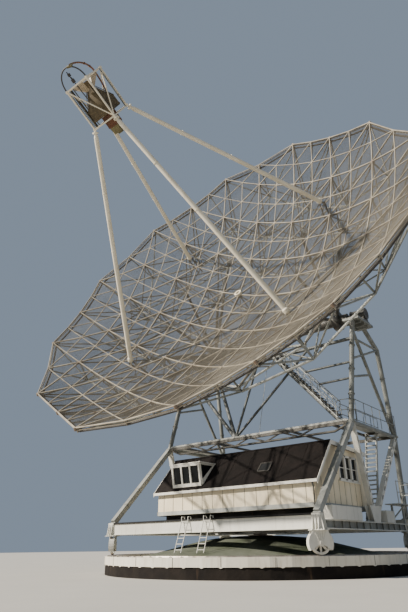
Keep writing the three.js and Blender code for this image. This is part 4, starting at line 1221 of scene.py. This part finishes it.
for side, q in DORMER_SIDES:
    x = side + q * 0.015
    bar(s, P(x, -4.065, 4.82), P(x, -3.9, 3.85), 0.04, 0.08, X)
    bar(s, P(x, roof_y(3.86) - 0.04, 3.86), P(x, roof_y(4.83) - 0.04, 4.83), 0.04, 0.08, X)
    bar(s, P(x, D_FRONT, 4.8), P(x, roof_y(4.8) + 0.02, 4.8), 0.09, 0.04, Z)
piece("dormer_boards", s, *CABIN, TRIM, 30)

# Base: tabs and joints of the ring beam, and rail clips
TAB = ((0.025, 0.398), (0.065, 0.418), (0.13, 0.4395))
s = Shape()
for r, t in spokes(64):
    s.loft([square(r * 7.718 + Z * z, t * w, r * 0.016) for w, z in TAB])
piece("ring_tabs", s, "foundation", "ring_paint", RING, 30)
s = Shape()
for r, t in spokes(24, 0.5):
    for face in (7.742, 7.238):
        s.loft([square(r * face + Z * z, t * 0.006, r * 0.003) for z in (0.44, 0.765)])
piece("ring_joints", s, "foundation", "ring_paint", DARK)
s = Shape()
for r, t in spokes(90):
    for q in (-1, 1):
        c = r * (RAIL_R + q * 0.09)
        s.loft([square(c + Z * z, t * 0.05, r * 0.035) for z in (0.771, 0.79)])
        tube(s, c + Z * 0.785, c + Z * 0.805, 0.015, 6)
piece("rail_clips", s, "foundation", "rail_steel", RAIL)

# CAD nodes that stay visible, some with softened edges
for names, material in (
        ("elevation_axle", GREY), ("cross_frame", FRAME), ("cabin_shell", PANEL), ("cabin_roof", ROOF),
        ("carriage_frame cabinet_front cabinet_rear", WHITE), ("tower_stair side_landing", LIGHT),
        ("cabin_dormer", TRIM), ("foundation_base", PLINTH), ("ring_beam", RING), ("rail centre_pin", RAIL)):
    for name in names.split():
        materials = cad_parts[name].data.materials
        materials.clear()
        materials.append(material)
for name in ("carriage_frame", "cabin_shell", "cabinet_front", "cabinet_rear", "cabin_roof"):
    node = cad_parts[name]
    weld = node.modifiers.new("weld", "WELD")
    weld.merge_threshold = 0.0002
    soft = node.modifiers.new("soft_edge", "BEVEL")
    soft.width = 0.008
    soft.segments = 2
    soft.limit_method = "ANGLE"
    soft.angle_limit = rad(40)

# Moss-covered skin on the domed floor
DOME = ((7.1, 0.435), (7.06, 0.59), (6.4, 0.69), (5.6, 0.79), (4.4, 1.06), (3.3, 1.32), (2.3, 1.49),
        (1.1, 1.58), (0.66, 1.58))
s = Shape()
skin = [(r, z + 0.006) for r, z in DOME] + [(r, z - 0.01) for r, z in DOME[::-1]]
lathe(s, ORIGIN, X, Y, Z, skin, 72)
piece("dome_skin", s, "foundation", "foundation_concrete", MOSS)

# Stage: floor, sky light and sun
bpy.ops.mesh.primitive_circle_add(vertices=96, radius=150, fill_type="NGON", location=(0, 0, -0.004))
ground = bpy.context.object
ground.name = "stage_floor"
p = Paint("stage_floor")
pale = p.patch((0.42, 0.405, 0.375), (0.45, 0.435, 0.4), 0.3, 0.7, 1.0, 0.3, 3.0)
ground.data.materials.append(p.finish(pale, rough=0.9, bump=0.02))

world = bpy.data.worlds.new("studio")
scene.world = world
world.use_nodes = True
sky = world.node_tree.nodes["Background"].inputs
sky[0].default_value = (0.58, 0.72, 0.92, 1)
sky[1].default_value = 0.38

sun = bpy.data.lights.new("sun", "SUN")
sun.energy = 10.0
sun.angle = rad(1.5)
sun.color = (1.0, 0.92, 0.8)
lamp = bpy.data.objects.new("sun", sun)
scene.collection.objects.link(lamp)
lamp.rotation_euler = P(-0.55, -0.65, 0.52).to_track_quat("Z", "Y").to_euler()

# Camera, fitted to the photograph
PHOTO_HEIGHT, FOCAL_PIXELS = 612, 516.978
STAND = P(16.099, -24.024, 1.159)
TURN, LOOK_UP, ROLL = rad(39.24), rad(24.904), rad(-0.7)
camera = bpy.data.cameras.new("camera")
camera.sensor_width = 36
camera.lens = 36 * FOCAL_PIXELS / PHOTO_HEIGHT
camera.clip_end = 400
view = bpy.data.objects.new("camera", camera)
scene.collection.objects.link(view)
forward = P(-sin(TURN) * cos(LOOK_UP), cos(TURN) * cos(LOOK_UP), sin(LOOK_UP))
right = P(cos(TURN), sin(TURN), 0)
up = right.cross(forward)
right, up = right * cos(ROLL) + up * sin(ROLL), up * cos(ROLL) - right * sin(ROLL)
view.matrix_world = Matrix([[right[k], up[k], -forward[k], STAND[k]] for k in range(3)] + [[0, 0, 0, 1]])
scene.camera = view
